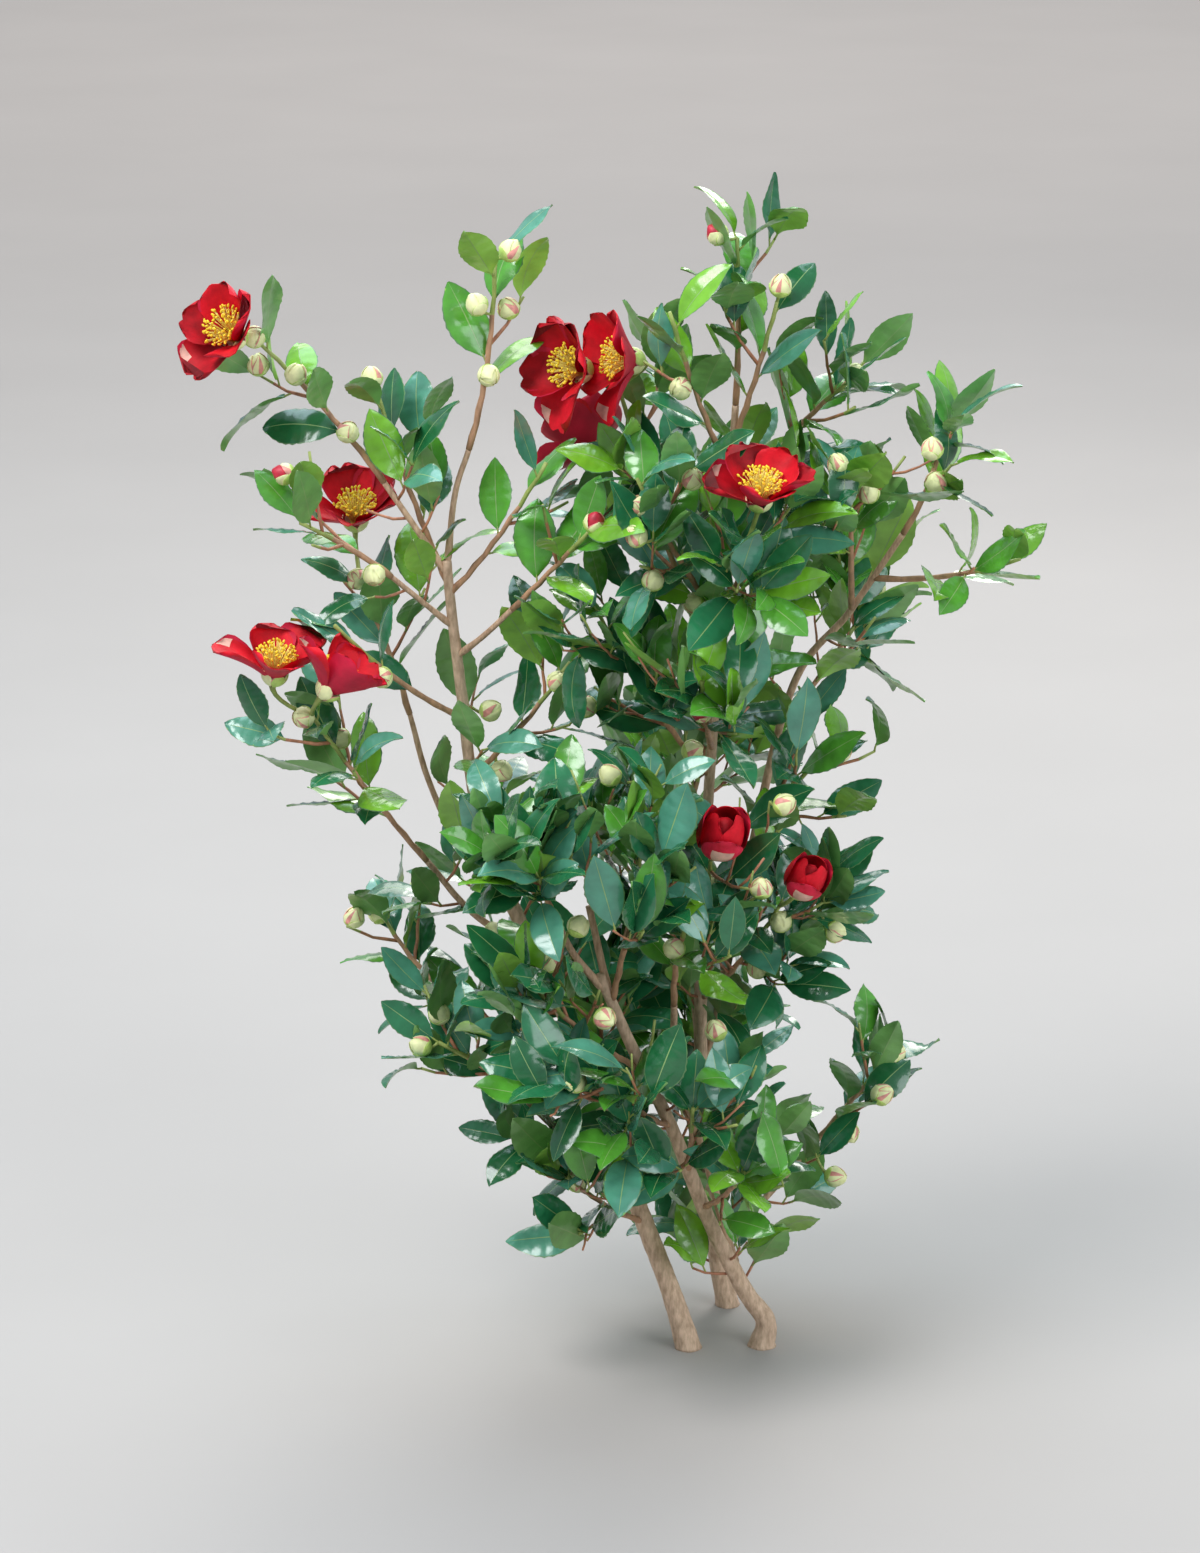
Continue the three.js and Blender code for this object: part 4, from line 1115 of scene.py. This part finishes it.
def add_stamens(piece, foot, axis, draw):
    """A fan of thread-thin stamens from a short tube, each with its anther."""
    filament, anther = STAMEN_SLOTS["filament"], STAMEN_SLOTS["anther"]
    base = foot + STAMEN_TUBE.above * axis
    points = [base + height * axis for height in STAMEN_TUBE.heights]
    piece.add_tube(points, STAMEN_TUBE.radii, STAMEN_TUBE.sides, filament)
    for k in range(STAMENS.count):
        out = across_of(axis, k * GOLDEN_TURN + STAMENS.turn_spread * (draw() - 0.5))
        share = math.sqrt((k + 0.5) / STAMENS.count)
        length = STAMENS.length * lerp(STAMENS.longer, draw()) * lerp(STAMENS.shorter, share)
        root = base + STAMENS.sunk * axis + STAMENS.ring * lerp((STAMENS.inner, 1), share) * out
        lean = STAMENS.lean * share + STAMENS.lean_spread * (draw() - 0.5)
        onward, outward = STAMENS.bend
        bend = root + onward * length * axis + outward * length * math.sin(lean) * out
        tip = root + length * (math.cos(lean) * axis + math.sin(lean) * out)
        thread = Bend(root, bend, tip)
        points = [thread.point(place) for place in STAMENS.shares]
        piece.add_tube(points, STAMENS.radii, STAMENS.sides, filament)
        along = (thread.tangent(1) + ANTHER.aside * across_of(axis, ANTHER.turn * draw())).normalized()
        piece.add_tube([tip + s * along for s in ANTHER.heights], ANTHER.radii, ANTHER.sides, anther)


def add_bloom(petals, stamens, buds, twigs, main, bloom, draw):
    """A blossom on its stalk from its mass's main twig, with the scales under it."""
    axis, foot, open_ = bloom.face, bloom.foot, bloom.open
    steps, (first, last) = BLOOM_STALK.steps, BLOOM_STALK.ends
    near = min(range(steps + 1), key=lambda k: (main.point(k / steps) - foot).length) / steps
    start = main.point(min(max(near, first), last))
    bend = foot - BLOOM_STALK.straight * (foot - start).length * axis
    stalk = Bend(start, bend, foot - BLOOM_STALK.into * axis)
    spans = len(BLOOM_STALK.radii) - 1
    points = [stalk.point(k / spans) for k in range(spans + 1)]
    twigs.add_tube(points, BLOOM_STALK.radii, BLOOM_STALK.sides, TWIG_SLOTS["green"])
    if open_ > HALF_OPEN.most:
        add_open_petals(petals, foot, axis, open_, draw)
        add_stamens(stamens, foot, axis, draw)
    else:
        size = 1 + HALF_OPEN.growth * (open_ - HALF_OPEN.usual)
        add_wrapped_petals(petals, foot, axis, size, draw)
    for k in range(CALYX.count):
        reach = CALYX.reach - CALYX.lower * (k % 3)
        slot, edge = "cream" if k % 2 else "green", "pink" if k % 3 else "cream"
        base = foot - CALYX.sunk * axis
        add_scale(buds, base, axis, CALYX.turn * k, CALYX.size, reach, CALYX, slot, edge)


# Bark: the limbs, with fissures and a swollen foot to each bough


# Each layer of fissures: how often it changes round the limb and along it, and how deep it is
FISSURES = ((1.6, 0.045, 0.06), (3.4, 0.16, 0.055))
BOUGH_FOOT = Values(slim=0.35, slim_length=2.5, swell=0.22, place=8, length=5)
RING_LENGTH, FEWEST_RINGS, LEVEL_RINGS = 2.6, 8, 6
STEM_SIDES, BOUGH_SIDES = 20, 12
SPAN_STEPS = 40
# How far apart the limbs lie in the noise, so that no two have the same fissures
BARK_APART = 1000
# A twig: the length of its sections, its zigzag, its swollen nodes, and the share that is still green
TWIG_FORM = Values(section=9, zigzag=0.35, node=1.12, between=0.97, green=0.68, main_sides=8, sides=6)


def bark_relief(points, sides, start):
    """The share of the radius at each corner: long and shallow fissures, in two layers of noise."""
    relief = np.ones((len(points), sides))
    length = start
    for k, point in enumerate(points):
        length += np.linalg.norm(np.array(point) - np.array(points[max(k - 1, 0)]))
        for side in range(sides):
            angle = FULL_TURN * side / sides
            x, y = math.cos(angle), math.sin(angle)
            relief[k, side] += sum(
                deep * noise.noise(Vector((x * often, y * often, along * length)))
                for often, along, deep in FISSURES
            )
    return relief


def bough_foot(length):
    """A bough starts slim inside its stem, swells where it leaves it, and then keeps its own radius."""
    slim = BOUGH_FOOT.slim * math.exp(-length / BOUGH_FOOT.slim_length)
    return 1 - slim + BOUGH_FOOT.swell * math.exp(-((length - BOUGH_FOOT.place) / BOUGH_FOOT.length) ** 2)


def add_limb(piece, name, curve, index):
    places = [curve.point(k / SPAN_STEPS) for k in range(SPAN_STEPS + 1)]
    span = sum((after - place).length for place, after in zip(places, places[1:]))
    rings = max(FEWEST_RINGS, round(span / RING_LENGTH))
    shares = [k / rings for k in range(rings + 1)]
    points = [curve.point(share) for share in shares]
    radii = [limb_radius(name, share) for share in shares]
    if name in STEMS:
        radii = [r * (1 + FLARE.share * math.exp(-p.z / FLARE.height)) for r, p in zip(radii, points)]
    else:
        radii = [r * bough_foot(share * span) for r, share in zip(radii, shares)]
    sides = STEM_SIDES if name in STEMS else BOUGH_SIDES
    relief = bark_relief(points, sides, BARK_APART * index)
    corners, loops, sizes, _ = tube(points, radii, sides, relief)
    if name in STEMS:
        level_foot(corners, sides)
    piece.add(corners, loops, sizes, np.full(len(sizes), BARK_SLOTS["old" if name in STEMS else "young"]))


def level_foot(corners, sides):
    """The first rings of a stem are laid flat, so that its cut lies on the ground."""
    for ring in range(LEVEL_RINGS):
        band = corners[ring * sides:(ring + 1) * sides, 2]
        band[:] = band.mean() + (band - band.mean()) * ring / LEVEL_RINGS
    corners[:, 2] = np.maximum(corners[:, 2], 0)
    corners[:sides, 2] = 0


def add_twig(piece, twig):
    curve = twig.curve
    rings = max(3, round((curve.tip - curve.root).length / TWIG_FORM.section))
    points, radii = [], []
    for k in range(rings + 1):
        share = k / rings
        point = np.array(curve.point(share))
        if 0 < k < rings:
            aside = np.array(across_of(curve.tangent(share), twig.turn))
            point = point + TWIG_FORM.zigzag * (-1) ** k * aside
        points.append(point)
        thicker = TWIG_FORM.node if k % 2 else TWIG_FORM.between
        radii.append(lerp(TWIG_RADII[twig.order], share) * thicker)
    sides = TWIG_FORM.main_sides if twig.order == "main" else TWIG_FORM.sides
    corners, loops, sizes, rows = tube(points, radii, sides)
    slots = np.where(rows > TWIG_FORM.green * rings, TWIG_SLOTS["green"], TWIG_SLOTS[twig.order])
    piece.add(corners, loops, sizes, slots)


# Materials


SOCKETS = dict(specular="Specular IOR Level", coat="Coat Weight", coat_roughness="Coat Roughness")
# Where the two shades of a colour begin, how finely each noise is layered, and how deep relief goes
SHADE_ENDS = (0.3, 0.7)
WANDER_DETAIL, GRAIN_DETAIL = 4, 3
RELIEF_DEPTH = 0.0004


def material(name, colour, roughness, vary=0.15, vary_scale=90, bump=0.2, bump_scale=900, stretch=1,
             darker=None, **sockets):
    """A surface whose colour wanders between two shades, with fine relief."""
    made = bpy.data.materials.new(name)
    made.use_nodes = True
    nodes, links = made.node_tree.nodes, made.node_tree.links
    shader = nodes["Principled BSDF"]
    shader.inputs["Roughness"].default_value = roughness
    for socket, value in sockets.items():
        shader.inputs[SOCKETS[socket]].default_value = value
    place = nodes.new("ShaderNodeTexCoord")
    mapping = nodes.new("ShaderNodeMapping")
    mapping.inputs["Scale"].default_value = (1, 1, stretch)
    links.new(place.outputs["Object"], mapping.inputs["Vector"])

    def noise_node(scale, detail):
        node = nodes.new("ShaderNodeTexNoise")
        node.inputs["Scale"].default_value, node.inputs["Detail"].default_value = scale, detail
        links.new(mapping.outputs["Vector"], node.inputs["Vector"])
        return node

    wander, ramp = noise_node(vary_scale, WANDER_DETAIL), nodes.new("ShaderNodeValToRGB")
    shades = (darker or [c * (1 - vary) for c in colour], [min(1, c * (1 + vary)) for c in colour])
    for element, position, shade in zip(ramp.color_ramp.elements, SHADE_ENDS, shades):
        element.position, element.color = position, (*shade, 1)
    links.new(wander.outputs["Fac"], ramp.inputs["Fac"])
    links.new(ramp.outputs["Color"], shader.inputs["Base Color"])
    grain, relief = noise_node(bump_scale, GRAIN_DETAIL), nodes.new("ShaderNodeBump")
    relief.inputs["Strength"].default_value, relief.inputs["Distance"].default_value = bump, RELIEF_DEPTH
    links.new(grain.outputs["Fac"], relief.inputs["Height"])
    links.new(relief.outputs["Normal"], shader.inputs["Normal"])
    return made


def leaf_material(name, colour, roughness=0.24):
    return material("leaf_" + name, colour, roughness, vary=0.26, vary_scale=60, bump=0.3, bump_scale=380,
                    coat=0.55, coat_roughness=0.10)


def petal_material(name, colour, vary, vary_scale, darker=None, **sockets):
    return material("petal_" + name, colour, 0.6, vary, vary_scale, bump=0.3, bump_scale=700,
                    darker=darker, **sockets)


def bark_material(name, colour, darker, roughness, vary_scale, bump, stretch):
    return material("bark_" + name, colour, roughness, 0.10, vary_scale, bump, bump_scale=1100,
                    stretch=stretch, darker=darker)


leaf_materials = [
    leaf_material("deep", (0.010, 0.115, 0.036)),
    leaf_material("teal", (0.018, 0.165, 0.064)),
    # sky_sheen: painted reflection of the sky, as a pale blue-green base colour.
    leaf_material("sky_sheen", (0.070, 0.260, 0.170)),
    # fresh and young: young growth, partly brightened with painted backlight shining through the leaves.
    leaf_material("fresh", (0.078, 0.300, 0.028)),
    leaf_material("young", (0.170, 0.430, 0.024)),
    # The backs: a paler underside, made brighter by painted light shining through the leaf.
    leaf_material("back", (0.150, 0.340, 0.085), 0.42),
    leaf_material("back_young", (0.250, 0.500, 0.065), 0.5),
    leaf_material("rib", (0.220, 0.350, 0.120), 0.45),
    leaf_material("edge", (0.080, 0.190, 0.065), 0.4),
]
twig_materials = [
    material("twig_brown", (0.44, 0.240, 0.135), 0.6, vary=0.3, vary_scale=300, stretch=0.3),
    material("twig_red", (0.42, 0.170, 0.090), 0.55, vary=0.3, vary_scale=300, stretch=0.3),
    material("twig_green", (0.30, 0.360, 0.090), 0.5, vary=0.2, vary_scale=200),
]
bud_materials = [
    material("bud_" + name, colour, 0.5, vary, vary_scale=260) for name, colour, vary in (
        ("cream", (0.830, 0.840, 0.440), 0.12),
        ("green", (0.500, 0.660, 0.160), 0.2),
        ("pink", (0.740, 0.300, 0.250), 0.3),
        ("red", (0.520, 0.020, 0.045), 0.3),
    )
]
petal_materials = [
    petal_material("red", (0.660, 0.005, 0.018), 0.25, 80, (0.430, 0.002, 0.009), specular=0.25),
    # deep: the red with painted shade, down to the shaded red.
    petal_material("deep", (0.480, 0.003, 0.012), 0.25, 80, (0.220, 0.001, 0.005), specular=0.25),
    petal_material("back", (0.560, 0.012, 0.045), 0.2, 80, specular=0.25),
    petal_material("pale", (0.720, 0.420, 0.330), 0.3, 160),
    petal_material("rose", (0.640, 0.020, 0.060), 0.3, 120, (0.480, 0.006, 0.020), specular=0.25),
]
stamen_materials = [
    material("filament", (1.000, 0.800, 0.200), 0.5, vary=0.1, vary_scale=300, bump=0.1),
    material("anther", (1.000, 0.660, 0.030), 0.6, vary=0.2, vary_scale=600, bump=0.4, bump_scale=2500),
]
bark_materials = [
    bark_material("old", (0.690, 0.490, 0.345), (0.430, 0.285, 0.185), 0.85, 430, bump=1.0, stretch=0.35),
    bark_material("young", (0.600, 0.400, 0.265), (0.360, 0.215, 0.130), 0.75, 560, bump=0.7, stretch=0.3),
]


# The plant


# The piece of leaves that each stem's masses go to, beside those at the back
GROUPS = dict(stem_left="left", stem_right="front", stem_back="middle")


def group_of(name):
    limb = MASSES[name].limb
    return "back" if "back_" in name else GROUPS[BOUGHS[limb].limb if limb in BOUGHS else limb]


leaf_pieces = {group: Piece("leaves_" + group, leaf_materials) for group in (*GROUPS.values(), "back")}
twigs_piece = Piece("twigs", twig_materials)
buds_piece = Piece("buds", bud_materials)
petals_piece = Piece("petals", petal_materials)
stamens_piece = Piece("stamens", stamen_materials)
total = 0
for index, (name, plan) in enumerate(MASSES.items()):
    look = seeded(SEEDS.look + index)
    for twig in all_twigs[name]:
        add_twig(twigs_piece, twig)
    for leaf in grow_leaves(name, all_twigs[name]):
        tone = tone_of(look(), leaf.root.z, name)
        add_leaf(leaf_pieces[group_of(name)], twigs_piece, leaf, tone, look)
        total += 1
    for bloom in plan.blooms:
        add_bloom(petals_piece, stamens_piece, buds_piece, twigs_piece, mains[name], bloom, look)
for index, bud in enumerate(seen_buds + tip_buds):
    add_bud(buds_piece, bud, seeded(SEEDS.bud_look + index))
    add_bud_stalk(twigs_piece, bud)
print(total, "leaves")

bark = Piece("bark", bark_materials)
for index, (name, curve) in enumerate(limbs.items()):
    add_limb(bark, name, curve, index)
bark.make("bark", list(limbs))
for group, piece in leaf_pieces.items():
    piece.make("foliage", [name for name in MASSES if group_of(name) == group])
twigs_piece.make("foliage", list(MASSES))
buds_piece.make("foliage", list(MASSES))
blooming = [name for name, plan in MASSES.items() if plan.blooms]
petals_piece.make("foliage", blooming)
stamens_piece.make("foliage", blooming)


# Camera, floor and light


scene = bpy.context.scene
camera = bpy.data.objects.new("camera", bpy.data.cameras.new("camera"))
camera.location = EYE
camera.rotation_euler = (PITCH, 0, 0)
camera.data.lens, camera.data.sensor_width = LENS, SENSOR
scene.collection.objects.link(camera)
scene.camera = camera

FLOOR_REACH = 40
floor_corners = [(FLOOR_REACH * x, FLOOR_REACH * y, 0) for x, y in ((-1, -1), (1, -1), (1, 1), (-1, 1))]
floor_mesh = bpy.data.meshes.new("floor")
floor_mesh.from_pydata(floor_corners, [], [(0, 1, 2, 3)])
floor = bpy.data.objects.new("floor", floor_mesh)
floor_finish = material("floor", (0.400, 0.370, 0.350), 0.9, vary=0.02, vary_scale=3, bump=0.05)
floor_mesh.materials.append(floor_finish)
scene.collection.objects.link(floor)


def area_light(name, place, target, size, power, colour):
    light = bpy.data.lights.new(name, "AREA")
    light.shape, light.size, light.energy, light.color = "DISK", size, power, colour
    lamp = bpy.data.objects.new(name, light)
    lamp.location = place
    lamp.rotation_euler = (Vector(target) - Vector(place)).to_track_quat("-Z", "Y").to_euler()
    scene.collection.objects.link(lamp)


area_light("key", (-1.3, -1.0, 2.4), (-0.05, 0, 0.35), 1.4, 56, (0.97, 0.98, 1.0))
area_light("fill", (1.7, -1.6, 1.4), (-0.05, 0, 0.35), 1.8, 30, (0.90, 0.96, 1.0))
area_light("behind", (0.6, 1.9, 1.9), (-0.05, 0, 0.4), 1.4, 26, (1.0, 0.98, 0.94))
area_light("horizon", (0, 5.2, 3.4), (0, 5.2, 0), 5.0, 150, (1.0, 0.97, 0.94))
area_light("sky_sheen", (-0.3, 0.9, 2.8), (-0.05, 0, 0.4), 2.2, 42, (0.68, 0.87, 1.0))
world = bpy.data.worlds.new("studio")
world.use_nodes = True
world.node_tree.nodes["Background"].inputs["Color"].default_value = (0.80, 0.90, 1.0, 1)
world.node_tree.nodes["Background"].inputs["Strength"].default_value = 0.54
scene.world = world
scene.view_settings.view_transform = "Standard"
